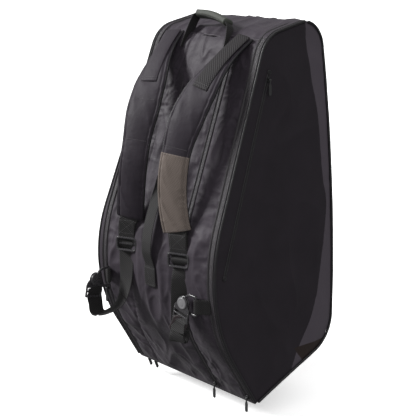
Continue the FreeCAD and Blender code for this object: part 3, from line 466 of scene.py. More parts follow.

# ------------------------------------------------------------ side panels
# Each side is one padded panel of matte cloth with a satin accent behind a curved seam and a
# darker triangle at the foot. On the bag its front part opens with the main zip and folds along a
# straight line to the rear; here each side is built as one unbroken skin.
seam_heights = (-60.0, 40.0, 62.0, 110.0, 150.0, 200.0, 300.0, 385.0, 400.0, 440.0, 480.0, 600.0, 760.0,
                860.0)
seam_depths = (100.0, 106.0, 114.0, 142.0, 165.0, 184.0, 200.0, 214.0, 217.0, 207.0, 205.0, 198.0, 178.0,
               176.0)
side_cloth = cloth("matte_side_cloth", (0.0080, 0.0062, 0.0088), (0.021, 0.0168, 0.0222), 0.66, sheen=0.016,
                   crumple=0.35, crumple_scale=90.0, specular=0.2025)
side_tree = side_cloth.node_tree
side_shader = side_tree.nodes["Principled BSDF"]
side_masks = []
for label in ("behind_seam", "foot_panel"):
    distance = side_tree.nodes.new("ShaderNodeAttribute")
    distance.attribute_name = label
    side_masks.append(maths(side_tree, "GREATER_THAN", distance.outputs["Fac"], 0.0))
accent_mask, foot_mask = side_masks
plain_colour = side_shader.inputs["Base Color"].links[0].from_socket
with_accent = dyed(side_tree, accent_mask, plain_colour, (0.062, 0.053, 0.065))
side_tree.links.new(dyed(side_tree, foot_mask, with_accent, (0.020, 0.0135, 0.012)),
                    side_shader.inputs["Base Color"])
side_rough = side_shader.inputs["Roughness"].links[0].from_socket
satin = maths(side_tree, "SUBTRACT", side_rough, maths(side_tree, "MULTIPLY", accent_mask, 0.22))
side_tree.links.new(satin, side_shader.inputs["Roughness"])

edge_s = np.linspace(0.0, profile_run[-1], 441)[:-1]
edge_yz, edge_out = on_profile(edge_s)
share = np.concatenate([(1.0, 0.996, 0.991, 0.984, 0.975, 0.964, 0.95), np.linspace(0.935, 0.03, 62)])
middle_yz = np.array([78.0, 395.0])
fold_foot_to_top = np.array([180.0, 778.0])
side_yz = middle_yz + share[:, None, None] * (edge_yz[None] - edge_out[None] * 1.4 - middle_yz)
side_edge = (1.0 - share[:, None]) * np.linalg.norm(edge_yz - middle_yz, axis=1)[None, :]


def side_offset(y, z, edge, around, sign):
    """How far a side panel stands off the even shape: rolled in at the piping, puckered beside it,
    with shallow slow dents, and dipped along the accent seam and its row of stitches."""
    roll = -3.2 * np.exp(-edge / 4.0)
    ripple = creases(around / 19.0, edge / 70.0, 81 + int(sign), 1.6) - 0.45
    pucker = 1.5 * ripple * beside(edge, 15.0, 4.0)
    behind = y - ease_between(z, seam_heights, seam_depths)
    slow = 2.0 * loose_noise(y / 60.0, z / 110.0, 83 + int(sign)) + 2.2 * (
        creases(y / 75.0 + z / 260.0, z / 150.0 - y / 200.0, 85 + int(sign), 3.0) - 0.3)
    calm = smooth_step((np.abs(y - pocket_line(z)) - 16.0) / 45.0) * smooth_step((edge - 4.0) / 30.0)
    calm = calm * smooth_step((np.hypot(y - middle_yz[0], z - middle_yz[1]) - 14.0) / 60.0)
    seam = 1.3 * valley(behind, 2.0) + 0.5 * valley(behind - 7.0, 1.5)
    seam_ripple = creases(z / 21.0, behind / 60.0, 87 + int(sign), 1.6) - 0.45
    seam_ripple = 0.9 * seam_ripple * np.exp(-np.abs(behind) / 14.0)
    seams = seam * smooth_step(edge / 8.0) + seam_ripple * smooth_step(edge / 12.0)
    return roll + pucker + slow * calm + seams


y, z = side_yz[..., 0], side_yz[..., 1]
behind = (y - ease_between(z, seam_heights, seam_depths)).ravel()
foot = np.minimum(y - 150.0 + 0.55 * (z - 20.0) - 30.0 * np.exp(-z / 60.0), 92.0 - z + 0.0 * y).ravel()
grid_uv = np.stack([y, z], axis=-1) / 1000.0
grid_uv = np.concatenate([grid_uv, grid_uv[:, :1]], axis=1)
for side, sign in both_sides:
    lift = side_offset(y, z, side_edge, edge_s[None, :] + 0 * y, sign)
    fringe = left_fringe(y, z) * (side == "left") * (1 - smooth_step(side_edge / 20.0))
    grid = np.stack([sign * (half_width(y, z) + fringe + lift), y, z], axis=-1)
    skin = build("side_skin_" + side, [(grid, True, (False, True), grid_uv)], side_cloth)
    for label, value in (("behind_seam", behind), ("foot_panel", foot)):
        skin.data.attributes.new(label, "FLOAT", "POINT").data.foreach_set("value", value.astype(np.float32))
    wall(skin, 2.0)
    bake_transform(skin)
    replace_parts(skin, "side_panel_" + side, "accent_panel_" + side, "side_quarter_panel_" + side)

# ------------------------------------------------------------ piping
# A cord of about 3 mm in a strip of black satin tape is sewn into the edge of each side panel.
# In front of the fold it belongs to the panel that opens, behind it to the bag.
level = (1.0, 0.0, 0.0)


def tube(grid):
    """A grid as build() takes it, joined round its columns and capped at both ends."""
    return grid, True, True, None


def swept(path, across, a, b):
    """A section carried along a path: point = path + a across + b normal, with across made square
    to the tangent and normal = tangent x across. a and b are the section's outline, one row for
    each point of the path, or one row for all."""
    path = np.asarray(path, float)
    tangent = np.gradient(path, axis=0)
    tangent /= np.linalg.norm(tangent, axis=1, keepdims=True)
    across = np.broadcast_to(np.asarray(across, float), path.shape)
    across = across - (across * tangent).sum(axis=1, keepdims=True) * tangent
    across = across / np.linalg.norm(across, axis=1, keepdims=True)
    normal = np.cross(tangent, across)
    a, b = np.broadcast_arrays(np.atleast_2d(a), np.atleast_2d(b))
    return path[:, None] + a[..., None] * across[:, None] + b[..., None] * normal[:, None]


def strip_outline(width, thickness, squareness=4.0, count=20):
    """Outline of a strip with rounded edges: (w/2 |cos t|^(2/n), h/2 |sin t|^(2/n)) with their signs.
    width and thickness are numbers, or columns of numbers that change along the strip."""
    t = np.linspace(0.0, 2 * np.pi, count + 1)[:-1] + np.pi / count
    power = 2.0 / squareness
    a = np.sign(np.cos(t)) * np.abs(np.cos(t)) ** power
    b = np.sign(np.sin(t)) * np.abs(np.sin(t)) ** power
    return np.asarray(width) / 2.0 * a, np.asarray(thickness) / 2.0 * b


def run_of(path):
    """Length along a path up to each of its points."""
    return np.concatenate([[0.0], np.cumsum(np.linalg.norm(np.diff(path, axis=0), axis=1))])


def round_ends(path, radius):
    """Scale of the section near both ends of a path: sqrt(1 - (1 - d / r)^2) within r of an end."""
    run = run_of(path)
    d = np.clip(np.minimum(run, run[-1] - run) / radius, 0.02, 1.0)
    return np.sqrt(1.0 - (1.0 - d) ** 2)[:, None]


def soft_path(points, spacing, rounds=3):
    """A line through a few given points, eased by cutting each corner at a quarter and three
    quarters of its sides (Chaikin's rule) and then stepped evenly."""
    points = np.asarray(points, float)
    for _ in range(rounds):
        near = 0.75 * points[:-1] + 0.25 * points[1:]
        far = 0.25 * points[:-1] + 0.75 * points[1:]
        inner = np.stack([near, far], axis=1).reshape(-1, points.shape[1])
        points = np.concatenate([points[:1], inner, points[-1:]])
    return even_steps(points, spacing)[0]


piping_tape = cloth("piping_tape", (0.006, 0.0055, 0.0065), (0.016, 0.015, 0.017), 0.42, pitch=0.0009,
                    sheen=0.016, crumple=0.2, specular=0.27)
top_rows = slice(520, 680)
fold_run = float(np.interp(fold_foot_to_top[0], profile[top_rows, 0], profile_run[top_rows]))
for side, sign in both_sides:
    for place, first, last, body, node in (
            ("front", 3.0, fold_run - 2.0, "side_lid_" + side, "front_piping_" + side),
            ("rear", fold_run + 2.0, profile_run[-1] - 3.0, "bag", "rear_piping")):
        along = np.arange(first, last, 3.2)
        yz, out = on_profile(along)
        centre = yz - 1.2 * out
        stands_at = half_width(*yz.T) + left_fringe(*yz.T) * (side == "left") + 0.1
        wander = 0.25 * loose_noise(along / 30.0, along * 0, 5)
        path = np.stack([sign * (stands_at + wander), centre[:, 0], centre[:, 1]], axis=-1)
        size = round_ends(path, 3.0) * (5.6 + 0.25 * loose_noise(along / 9.0, along * 0, 6)[:, None])
        cord = tube(swept(path, level, *strip_outline(size, size, 2.0, 12)))
        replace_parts(build("piping_%s_%s" % (place, side), [cord], piping_tape, body), node)

# ------------------------------------------------------------ zips
# Coil zips: two woven tapes with interlocked nylon coils, sewn under a pair of corded lips. The
# main zips run up both sides of the strap face, one more runs up its middle compartment, one
# lies under the keel, and a concealed one closes the pocket of each side panel.
zip_tape = cloth("zip_tape", (0.012, 0.0110, 0.0125), (0.046, 0.0420, 0.0465), 0.38, pitch=0.0016,
                 weave=0.144, sheen=0.0192, crumple=0.1, specular=0.2475)


def zip_grid(path, across, outward, width, lip_from, lip_height, tooth_height=0.5, base=-0.4):
    """A zip's section carried along a path, across |a| up to width / 2.

    Coils: |a| from 0.4 to 2.25 at height base + h (1 + cos(2 pi s / pitch)) / 2, the two sides half
    a step apart. Lips: |a| from lip_from outwards at lip_height sin(pi t)^0.7, ribbed along s.
    """
    half = width / 2.0
    lips = np.linspace(lip_from, half, 7)
    columns = np.concatenate([-lips[::-1], (-2.5, -2.2, -1.3, -0.45, 0.0, 0.45, 1.3, 2.2, 2.5), lips])
    s = run_of(path)[:, None]
    size = np.abs(columns)[None, :]
    t = np.clip((size - lip_from) / (half - lip_from), 0.0, 1.0)
    lip = lip_height * np.sin(np.pi * t) ** 0.7 * (1.0 + 0.10 * np.cos(2 * np.pi * s / rib_pitch))
    side_shift = np.where(columns[None, :] > 0, np.pi, 0.0)
    wave = 0.5 + 0.5 * np.cos(2 * np.pi * s / coil_pitch + side_shift)
    coil = ((size > 0.4) & (size < 2.25)) * tooth_height * wave
    top = base + np.where(size >= lip_from, lip + 0.3, coil)
    a = np.concatenate([columns, [half, -half]])
    b = np.concatenate([top, np.full((len(path), 2), -zip_depth)], axis=1)
    a = np.broadcast_to(a, b.shape)
    across, outward = np.broadcast_to(across, path.shape), np.broadcast_to(outward, path.shape)
    return path[:, None] + a[..., None] * across[:, None] + b[..., None] * outward[:, None]


zip_step, coil_pitch, rib_pitch = 0.72, 2.6, 3.4
zip_depth = 1.7
main_zip_inset = 11.4
keel_zip_foot = (12.0, 4.55)
keel_across, keel_outward = (0.0, 0.935, 0.3547), (0.0, 0.3547, -0.935)


def zip_on_front(x_of_z, last, width, lip_from, lip_height):
    """A zip that follows the outline of the bag at a given x, from just above the keel."""
    along = np.arange(10.0, last, zip_step)
    yz, out = on_profile(along)
    path = np.stack([x_of_z(yz[:, 1]), yz[:, 0], yz[:, 1]], axis=-1)
    outward = np.stack([0 * along, out[:, 0], out[:, 1]], axis=-1)
    return tube(zip_grid(path, level, outward, width, lip_from, lip_height))


for side, sign in both_sides:
    band = zip_on_front(lambda z: sign * (even_half_width(z) - main_zip_inset), fold_run, 16.4, 4.9, 2.1)
    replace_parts(build("main_zip_band_" + side, [band], zip_tape, "bag"), "main_zip_" + side)
band = zip_on_front(lambda z: middle_zip_x + 0 * z, rear_start, 13.0, 4.4, 1.9)
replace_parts(build("middle_zip_band", [band], zip_tape, "bag"), "middle_zip")
x = np.arange(-179.0, 179.0, zip_step)
path = np.stack([x, 0 * x + keel_zip_foot[0], 0 * x + keel_zip_foot[1]], axis=-1)
band = tube(zip_grid(path, keel_across, keel_outward, 13.0, 4.4, 1.6))
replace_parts(build("keel_zip_band", [band], zip_tape, "bag"), "keel_zip")
down = -pocket_way / np.hypot(*pocket_way)
pocket_across = (0.0, -down[1], down[0])
for side, sign in both_sides:
    line = even_steps([pocket_top, pocket_foot], zip_step)[0]
    path = np.stack([sign * (even_half_width(line[:, 1]) + 0.3), line[:, 0], line[:, 1]], axis=-1)
    surfaces = [tube(zip_grid(path, pocket_across, (sign, 0.0, 0.0), 9.0, 1.5, 0.95, 0.3, -0.1))]
    for end, way in ((0, 1.0), (-1, -1.0)):
        stop = path[end] - way * np.linspace(-2.0, 8.0, 12)[:, None] * np.array([0.0, *down])
        a, b = strip_outline(round_ends(stop, 5.0) * 12.0, round_ends(stop, 2.0) * 2.6, 3.0, 16)
        surfaces.append(tube(swept(stop + (sign * 0.5, 0, 0), pocket_across, a, b)))
    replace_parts(build("pocket_zip_band_" + side, surfaces, piping_tape, "side_lid_" + side),
                "pocket_zip_" + side)

# ------------------------------------------------------------ zip sliders and pulls
# Each slider is a cast metal body with a raised bridge, painted black, and its pull is a moulded
# rubber tab on a thin neck, with finger ridges near the free end.


def painted(name, colour, roughness, worn=(0.05, 0.05, 0.05), metallic=0.0):
    """Paint or moulded plastic: colour runs a little towards worn with a fine noise, which also
    gives the surface its grain."""
    material, tree, shader, marks = finish_of(name, 60.0, 320.0)
    tree.links.new(dyed(tree, maths(tree, "MULTIPLY", marks["Wear"], 0.5), colour, worn),
                   shader.inputs["Base Color"])
    rough = maths(tree, "MULTIPLY_ADD", marks["Crumple"], 0.2, roughness - 0.1)
    tree.links.new(rough, shader.inputs["Roughness"])
    embossed(tree, shader, marks["Crumple"], 0.0003, 0.25)
    shader.inputs["Metallic"].default_value = metallic
    return material


slider_paint = painted("slider_black_paint", (0.012, 0.012, 0.013), 0.34, (0.06, 0.06, 0.062), 0.6)
pull_rubber = painted("pull_rubber", (0.010, 0.010, 0.011), 0.46)


def turned_by(surfaces, x_axis, y_axis, z_axis, origin):
    """Surfaces drawn in a piece's own axes, put in place: x X + y Y + z Z + origin."""
    axes, origin = np.array([x_axis, y_axis, z_axis], float), np.asarray(origin, float)
    return [(points @ axes + origin, *rest) for points, *rest in surfaces]


pin_height = 6.0


def slider_surfaces():
    """Body with a narrow waist, half-width 4 - 0.7 sin(pi t)^2, and a bridge arched over it."""
    z = np.linspace(-5.0, 5.0, 22)
    path = np.stack([0 * z, 0 * z + 1.9, z], axis=-1)
    waist = 8.0 - 1.4 * np.sin(np.pi * (z + 5.0) / 10.0)[:, None] ** 2
    ends = round_ends(path, 2.0)
    surfaces = [tube(swept(path, level, *strip_outline(waist * ends, 2.9 * ends ** 0.5)))]
    for x in (-2.6, 2.6):
        t = np.linspace(0.0, np.pi, 18)
        post = np.stack([0 * t + x, 2.4 + 4.4 * np.sin(t) ** 0.8, 2.6 * np.cos(t)], axis=-1)
        surfaces.append(tube(swept(post, level, *strip_outline(1.3, 1.3, 3.0, 12))))
    pin = np.stack([np.linspace(-3.3, 3.3, 9), np.full(9, pin_height), np.zeros(9)], axis=-1)
    surfaces.append(tube(swept(pin, (0.0, 1.0, 0.0), *strip_outline(1.9, 1.9, 2.0, 12))))
    return surfaces


def pull_surfaces():
    """Neck and tab: width from 3.4 at the neck to 7.4, thickness 2.4 with ridges
    0.32 cos(2 pi z / 2.6) on the tab's lower part, and an eye round the pin."""
    z = -np.linspace(0.4, 31.0, 64)
    path = np.stack([0 * z, 0 * z, z], axis=-1)
    width = 3.4 + 4.0 * smooth_step((-z - 7.0) / 4.5)
    ridge = 0.32 * np.cos(2 * np.pi
                          * z / 2.6) * smooth_step((-z - 14.0) / 2.0) * smooth_step((28.0 + z) / 2.0)
    ends = round_ends(path, 3.2)
    tab = swept(path, level, *strip_outline(width[:, None] * ends, (2.2 + ridge[:, None]) * ends ** 0.5))
    t = np.linspace(0.0, 2 * np.pi, 25)[:, None] % (2 * np.pi)
    x = np.array([-1.7, -1.5, -1.2, 1.2, 1.5, 1.7, 1.7, -1.7])
    r = np.array([1.3, 1.9, 2.15, 2.15, 1.9, 1.3, 1.06, 1.06])
    eye = np.stack([x + 0 * t, r * np.cos(t), r * np.sin(t)], axis=-1)
    return [tube(tab), (eye, True, False, None)]


# where each slider rests: its own axes (across, outwards, along the zip), its place and how far its
# pull hangs from the zip's line
slider_seats = []
for name, x, y, z, lean in (("main_right", 172.9, -11.0, 19.05, np.radians(30.0)),
                            ("middle", middle_zip_x, -11.0, 19.05, np.radians(30.0)),
                            ("main_left", -166.4, -99.99, 200.0, np.radians(13.6))):
    outwards, along = (0.0, -np.cos(lean), -np.sin(lean)), (0.0, -np.sin(lean), np.cos(lean))
    slider_seats.append((name, (-1.0, 0.0, 0.0), outwards, along, (x, y, z), lean))
for side, sign in both_sides:
    y, z = pocket_top + 12.0 * down
    seat = (sign * (even_half_width(z) + 1.45), y, z)
    slider_seats.append(("pocket_" + side, (0.0, -sign, 0.0), (sign, 0.0, 0.0), (0.0, 0.0, 1.0), seat, 0.0))
for name, x in (("keel_outer", -173.0), ("keel_inner", -151.0)):
    slider_seats.append((name, -np.array(keel_across), keel_outward, level, (x, *keel_zip_foot), np.pi / 2))
for name, x_axis, y_axis, z_axis, origin, hang in slider_seats:
    slider = turned_by(slider_surfaces(), x_axis, y_axis, z_axis, origin)
    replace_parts(build("zip_slider_" + name, slider, slider_paint, "slider_body_" + name), "slider_" + name)
    swing_y, swing_z = (0.0, np.cos(hang), np.sin(hang)), (0.0, -np.sin(hang), np.cos(hang))
    hung = turned_by(pull_surfaces(), level, swing_y, swing_z, (0.0, pin_height, 0.0))
    pull = turned_by(hung, x_axis, y_axis, z_axis, origin)
    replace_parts(build("zip_pull_" + name, pull, pull_rubber, "pull_body_" + name), "pull_" + name)

# ------------------------------------------------------------ shoulder straps
# Two foam pads in satin cloth, bound along both edges and quilted beside the binding. They are
# sewn in at the top of the strap face, arch away from it and end in a box-stitched webbing tab.
# The right-hand pad has a lighter twill panel below. Each has a band sewn over its top, ribbed on
# the right-hand side and of pad cloth on the left.
pad_cloth = cloth("strap_pad_cloth", (0.0105, 0.0082, 0.0115), (0.031, 0.0250, 0.0335), 0.60, sheen=0.048,
                  crumple=0.6, crumple_scale=110.0, specular=0.153)
binding_tape = cloth("strap_binding", (0.006, 0.006, 0.007), (0.014, 0.013, 0.015), 0.40, pitch=0.0016,
                     weave=0.096, sheen=0.016, crumple=0.15, specular=0.27)
# the ribbed band, the twill and the webbing take most of their colour from the thread height: painted shade
# in the ribs' dips and painted highlight on their tops
ribbed_band = cloth("ribbed_band", (0.005, 0.0045, 0.005), (0.024, 0.0215, 0.0235), 0.60, pitch=0.0062,
                    weave=0.432, sheen=0.024, crumple=0.3, specular=0.135, thread_shade_share=0.8)
twill_panel = cloth("twill_panel", (0.055, 0.043, 0.037), (0.165, 0.135, 0.119), 0.62, pitch=0.0046,
                    weave=0.36, sheen=0.048, crumple=0.25, specular=0.18, thread_shade_share=0.7)
webbing_cloth = cloth("polyester_webbing", (0.0035, 0.0033, 0.0034), (0.0240, 0.0228, 0.0234), 0.55,
                      pitch=0.0044, weave=0.432, sheen=0.032, crumple=0.25, specular=0.18, thread_shade_share=0.85)
thread = painted("sewing_thread", (0.055, 0.052, 0.056), 0.5, (0.09, 0.086, 0.09))
buckle_turn = np.radians(20.0)
lock_across = np.array([np.cos(buckle_turn), np.sin(buckle_turn), 0.0])
lock_outward = np.array([np.sin(buckle_turn), -np.cos(buckle_turn), 0.0])
stitch_pitch = 3.6


def stitches(line, outward, length=2.7, width=0.7):
    """A row of stitches on a line: each is a small spindle, half-width w sin(t), laid flat."""
    centres = even_steps(line, stitch_pitch)[0]
    if len(centres) < 3:
        return []
    tangent = np.gradient(centres, axis=0)
    tangent /= np.linalg.norm(tangent, axis=1, keepdims=True)
    outward = np.broadcast_to(np.asarray(outward, float), centres.shape)
    sideways = np.cross(tangent, outward)
    t = np.linspace(0.12, np.pi - 0.12, 5)
    turn = np.linspace(0.0, 2 * np.pi, 7)[:-1]
    run = -np.cos(t)[:, None, None] * length / 2 * np.ones((1, 6, 1))
    a = (np.sin(t)[:, None] * np.cos(turn)[None, :] * width / 2)[..., None]
    b = (np.sin(t)[:, None] * np.sin(turn)[None, :] * width / 3)[..., None]
    return [tube(p + run * d + a * w + b * n) for p, d, w, n in zip(centres, tangent, sideways, outward)]


box_corners = np.array([(-1, 1), (1, 1), (1, -1), (-1, -1), (-1, 1), (1, -1), (1, 1), (-1, -1)], float)


def box_lines(half_x, middle_z, half_z, count):
    """The lines of a box stitch, its four sides and then both diagonals, as (x, z) points."""
    box = box_corners * (half_x, half_z) + (0.0, middle_z)
    return [np.linspace(first, last, count) for first, last in zip(box[:-1], box[1:])]


# circles that the middle of a strap follows: y, z and radius from the side, x, z and radius from the front
side_circle = (275.144, 430.209, 387.411)
front_circle = (763.107, 509.711, 703.174)


def on_strap(sign, z, a, b):
    """A point of a shoulder strap: height z, a mm across it and b mm in front of its middle.

    The middle follows one circle seen from the side and one seen from the front. The strap
    turns on itself to face outwards a little: 22 degrees at its foot, none at the top seam.
    """
    z, a, b = np.broadcast_arrays(np.asarray(z, float), np.asarray(a, float), np.asarray(b, float))
    side_root = np.sqrt(side_circle[2] ** 2 - (z - side_circle[1]) ** 2)
    front_root = np.sqrt(front_circle[2] ** 2 - (z - front_circle[1]) ** 2)
    middle = np.stack([sign * (front_circle[0] - front_root), side_circle[0] - side_root, z], axis=-1)
    tangent = np.stack([sign * (z - front_circle[1]) / front_root, (z - side_circle[1]) / side_root,
                        np.ones_like(z)], axis=-1)
    tangent /= np.linalg.norm(tangent, axis=-1, keepdims=True)
    turn = np.radians(22.0) * smooth_step((742.0 - z) / 190.0)
    across = np.stack([np.cos(turn), np.sin(turn), 0 * z], axis=-1)
    across -= (across * tangent).sum(axis=-1, keepdims=True) * tangent
    across /= np.linalg.norm(across, axis=-1, keepdims=True)
    return middle + a[..., None] * across + b[..., None] * np.cross(across, tangent)


def strap_direction(sign, z):
    """The strap's outward direction at height z."""
    return on_strap(sign, z, 0.0, 1.0) - on_strap(sign, z, 0.0, 0.0)


# heights of the pads' ends and of the rows sewn across them
pad_foot, pad_top = 379.0, 751.0
patch_foot, patch_top, upper_row, top_row, band_foot = 380.5, 532.0, 545.0, 622.0, 655.0
quilt_inset = 6.5


def pad_width(z):
    """Width of a pad: 61 mm at its foot, 76 mm over the shoulder, drawn in to 46 mm at the top seam."""
    return 61.0 + 15.0 * smooth_step((z - 530.0) / 90.0) - 30.0 * smooth_step((z - 645.0) / 90.0)


def pad_section(z, t, grow=0.0):
    """Outline of a pad at height z and angle t round it: a crowned cushion, quilted just inside
    its edges, with puckers along the quilting and soft slow dents; grow stands off from it."""
    half = pad_width(z) / 2.0
    across = np.sign(np.cos(t)) * np.abs(np.cos(t)) ** (2 / 3.2)
    rise = np.sign(np.sin(t)) * np.abs(np.sin(t)) ** (2 / 3.2)
    size = np.abs(across)
    thick = 6.9 * (0.86 + 0.30 * np.cos(np.pi * size / 2.0)) * (1 - 0.35 * smooth_step((z - 700.0) / 40.0))
    row = half - quilt_inset
    face = smooth_step(np.abs(rise) * 2.0 - 0.5)
    ripple = creases(z / 15.0, size + 3.0 * (across > 0), 91, 1.6) - 0.45
    pucker = 1.5 * ripple * np.exp(-np.abs(size * half - row) / 6.0)
    slow = 1.2 * loose_noise(z / 34.0, across * 1.3, 93) + 1.9 * (
        creases(z / 58.0 + across, across * 0.8 + z / 210.0, 95, 3.0) - 0.3)
    groove = 1.7 * np.exp(-((size * half - row) / 1.5) ** 2)
    lift = (pucker + slow - groove) * face
    return across * (half + grow), rise * (thick + grow) + np.sign(rise) * lift


def filled(piece, sewn, cap):
    """Swells a pad by cloth simulation: pressure from inside, its sewn points held (sewn is 1 at a
    seam, 0.5 at a quilted row and 0 on the free cloth), and none moves more than cap mm."""
    start = np.empty(len(piece.data.vertices) * 3, np.float32)
    piece.data.vertices.foreach_get("co", start)
    held = piece.vertex_groups.new(name="sewn")
    for hold in (0.5, 1.0):
        held.add(np.flatnonzero(np.abs(sewn - hold) < 0.25).tolist(), hold, "REPLACE")
    filling = piece.modifiers.new("filling", "CLOTH")
    filling.settings.vertex_group_mass = "sewn"
    filling.settings.use_pressure = True
    filling.settings.uniform_pressure_force = 45.0
    filling.settings.tension_stiffness = filling.settings.compression_stiffness = 4.0
    filling.settings.bending_stiffness = 0.1
    filling.settings.effector_weights.gravity = 0.0
    for number in range(1, 21):
        bpy.context.scene.frame_set(number)
    swollen = piece.evaluated_get(bpy.context.evaluated_depsgraph_get()).to_mesh()
    end = np.empty_like(start)
    swollen.vertices.foreach_get("co", end)
    move = (end - start).reshape(-1, 3)
    length = np.linalg.norm(move, axis=1, keepdims=True)
    move *= np.minimum(1.0, cap / 1000.0 / np.maximum(length, 1e-9))
    piece.modifiers.remove(filling)
    piece.vertex_groups.remove(held)
    bpy.context.scene.frame_set(1)
    piece.data.vertices.foreach_set("co", start + move.ravel().astype(np.float32))
    piece.data.update()


turn_round = np.linspace(0.0, 2 * np.pi, 65)[:-1] + np.pi / 64
tab_loop = np.array([(77.0, -115.0, 372.0), (79.0, -115.4, 356.0), (80.0, -115.0, 343.0),
                     (80.0, -114.6, 333.0), (80.0, -111.9, 329.0), (80.0, -109.2, 332.0),
                     (80.0, -109.6, 341.0), (79.0, -111.4, 356.0), (77.0, -111.0, 372.0)])
for side, sign in both_sides:
    heights = np.linspace(pad_foot, pad_top, 140)[:, None]
    ends = np.sqrt(1.0 - (1.0 - np.clip((heights - pad_foot + 0.4) / 8.0, 0.03, 1.0)) ** 2)
    a, b = pad_section(heights, turn_round[None, :])
    narrowed = 0.9 + 0.1 * ends
    pad = build("strap_pad_" + side, [tube(on_strap(sign, heights, a * narrowed, b * ends))], pad_cloth)
    from_edge = pad_width(heights) / 2.0 - np.abs(a)
    from_end = np.minimum(heights - pad_foot, pad_top - heights) + 0 * a
    at_seams = np.clip(1.35 - np.minimum(from_edge, np.abs(from_edge - quilt_inset) + 0.6) / 3.0, 0.0, 1.0)
    held = np.maximum(at_seams, np.clip(1.5 - from_end / 8.0, 0.0, 1.0))
    for row_z in (patch_top, upper_row, top_row):
        held = np.maximum(held, 0.5 * (np.abs(heights - row_z) < 1.6))
    held = np.maximum(held, (np.abs(a) < 22.0) & (heights > band_foot))
    if side == "right":  # the twill panel sewn over this part keeps it flat
        held = np.maximum(held, heights < patch_top + 3.0)
    filled(pad, np.round(held.ravel() * 2) / 2, 4.0)
    ring = np.linspace(0.0, 2 * np.pi, 15)[:-1][None, :]
    size = 1.0 + 0.08 * loose_noise(heights / 8.0, heights * 0, 97)
    reach = (pad_width(heights) / 2.0 - 0.4) * narrowed
    across, out = 1.7 * size * np.cos(ring), 2.7 * size * ends * np.sin(ring)
    bindings = [tube(on_strap(sign, heights, edge * reach + across, out)) for edge in (-1.0, 1.0)]
    binding = build("strap_binding_" + side, bindings, binding_tape)
    heights = np.linspace(band_foot, 750.0, 60)[:, None]
    a, b = strip_outline(39.0, 2.2, 6.0, 36)
    rise = b + 9.4 - 1.8 * np.abs(a / 19.5) ** 2.5 - 1.6 * smooth_step((heights - 700.0) / 40.0)
    band = build("strap_band_" + side, [tube(on_strap(sign, heights, a, rise))],
                 ribbed_band if side == "right" else pad_cloth)
    for piece, node in ((pad, "shoulder_pad_" + side), (binding, "strap_anchors"),
                        (band, "strap_top_band_" + side)):
        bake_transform(piece)
        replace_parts(piece, node)

    seam_rows = []
    quilt_rows = [(band_foot + 3.5, 18.0, 10.2), (band_foot + 7.5, 18.0, 10.2), (upper_row, 24.0, 8.2)]
    if side == "left":
        quilt_rows.append((top_row, 24.0, 8.2))
    for row_z, half, rise in quilt_rows:
        row = on_strap(sign, row_z, np.linspace(-half, half, 20), rise)
        seam_rows += stitches(row, strap_direction(sign, row_z))
    tab_line = soft_path(np.concatenate([on_strap(sign, np.array([394.0, 384.0]), 0.0, 2.0),
                                         tab_loop * (sign, 1, 1), on_strap(sign, np.array([384.0, 394.0]),
                                                                           0.0, -2.0)]), 1.8)
    tab = build("strap_webbing_tab_" + side,
                [tube(swept(tab_line, lock_across, *strip_outline(39.0, 1.9, 6.0, 24)))], webbing_cloth,
                "strap_" + side)
    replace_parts(tab, "strap_tab_" + side)
    for box_line in box_lines(16.0, 360.0, 14.0, 12):
        z = box_line[:, 1]
        spot = np.column_stack([sign * np.interp(z, (341, 372), (80, 77)),
                                np.interp(z, (341, 356, 372), (-115.0, -115.4, -115.0)), z])
        seam_rows += stitches(spot + box_line[:, :1] * lock_across + 1.15 * lock_outward, lock_outward)
    build("strap_stitching_" + side, seam_rows, thread, "strap_" + side)

heights = np.linspace(patch_foot, patch_top, 74)[:, None]
wrap = np.linspace(0.015, 0.985, 44)[None, :] * np.pi
a, b = (np.concatenate(faces, axis=1) for faces in
        zip(pad_section(heights, wrap, 1.0), pad_section(heights, wrap[:, ::-1], 0.1)))
reach, run = np.concatenate([a, a[:, :1]], axis=1) / 1000.0, heights / 1000.0
twill_uv = np.stack([reach + run, 0.35 * (reach - run)], axis=-1)
patch = build("strap_twill_panel", [(on_strap(1.0, heights, a, b), True, True, twill_uv)], twill_panel,
              "strap_right")
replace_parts(patch, "pad_patch_right")
edge_rows = []
for row_z in (patch_foot + 3.0, patch_top - 2.5):
    row = on_strap(1.0, row_z, np.linspace(-26.0, 26.0, 20), 9.0)
    edge_rows += stitches(row, strap_direction(1.0, row_z))
build("strap_panel_stitching", edge_rows, thread, "strap_right")

# ------------------------------------------------------------ seam stitching
# A row of lockstitch in the same thread holds the zip tapes to the shell, 10 mm from the teeth.
for side, sign in both_sides:
    yz, out = on_profile(np.arange(16.0, fold_run - 4.0, stitch_pitch))
    line = np.column_stack([sign * (even_half_width(yz[:, 1]) - main_zip_inset - 10.4), yz + 0.45 * out])
    rows = []
    for first in range(0, len(line) - 8, 8):
        rows += stitches(line[first:first + 9], (0.0, *out[first + 4]), 2.5, 0.65)
    build("zip_seam_stitching_" + side, rows, thread, "bag")

# ------------------------------------------------------------ ladder locks
# A stock moulded acetal buckle for 38 mm webbing at the foot of each pad: a rounded frame with
# a top bar for the sewn tab, a grip bar in the middle and a flared thumb lip below.
acetal = painted("acetal_black", (0.024, 0.0225, 0.025), 0.28, (0.045, 0.044, 0.047))
moulded = 3.2


def bar(start, end, width, thickness, across, squareness=moulded):
    """A moulded bar from start to end with rounded ends and edges."""
    path = even_steps([start, end], 1.2)[0]
    scale = round_ends(path, width / 2)
    return tube(swept(path, across, *strip_outline(width * scale, thickness * scale ** 0.6, squareness, 18)))


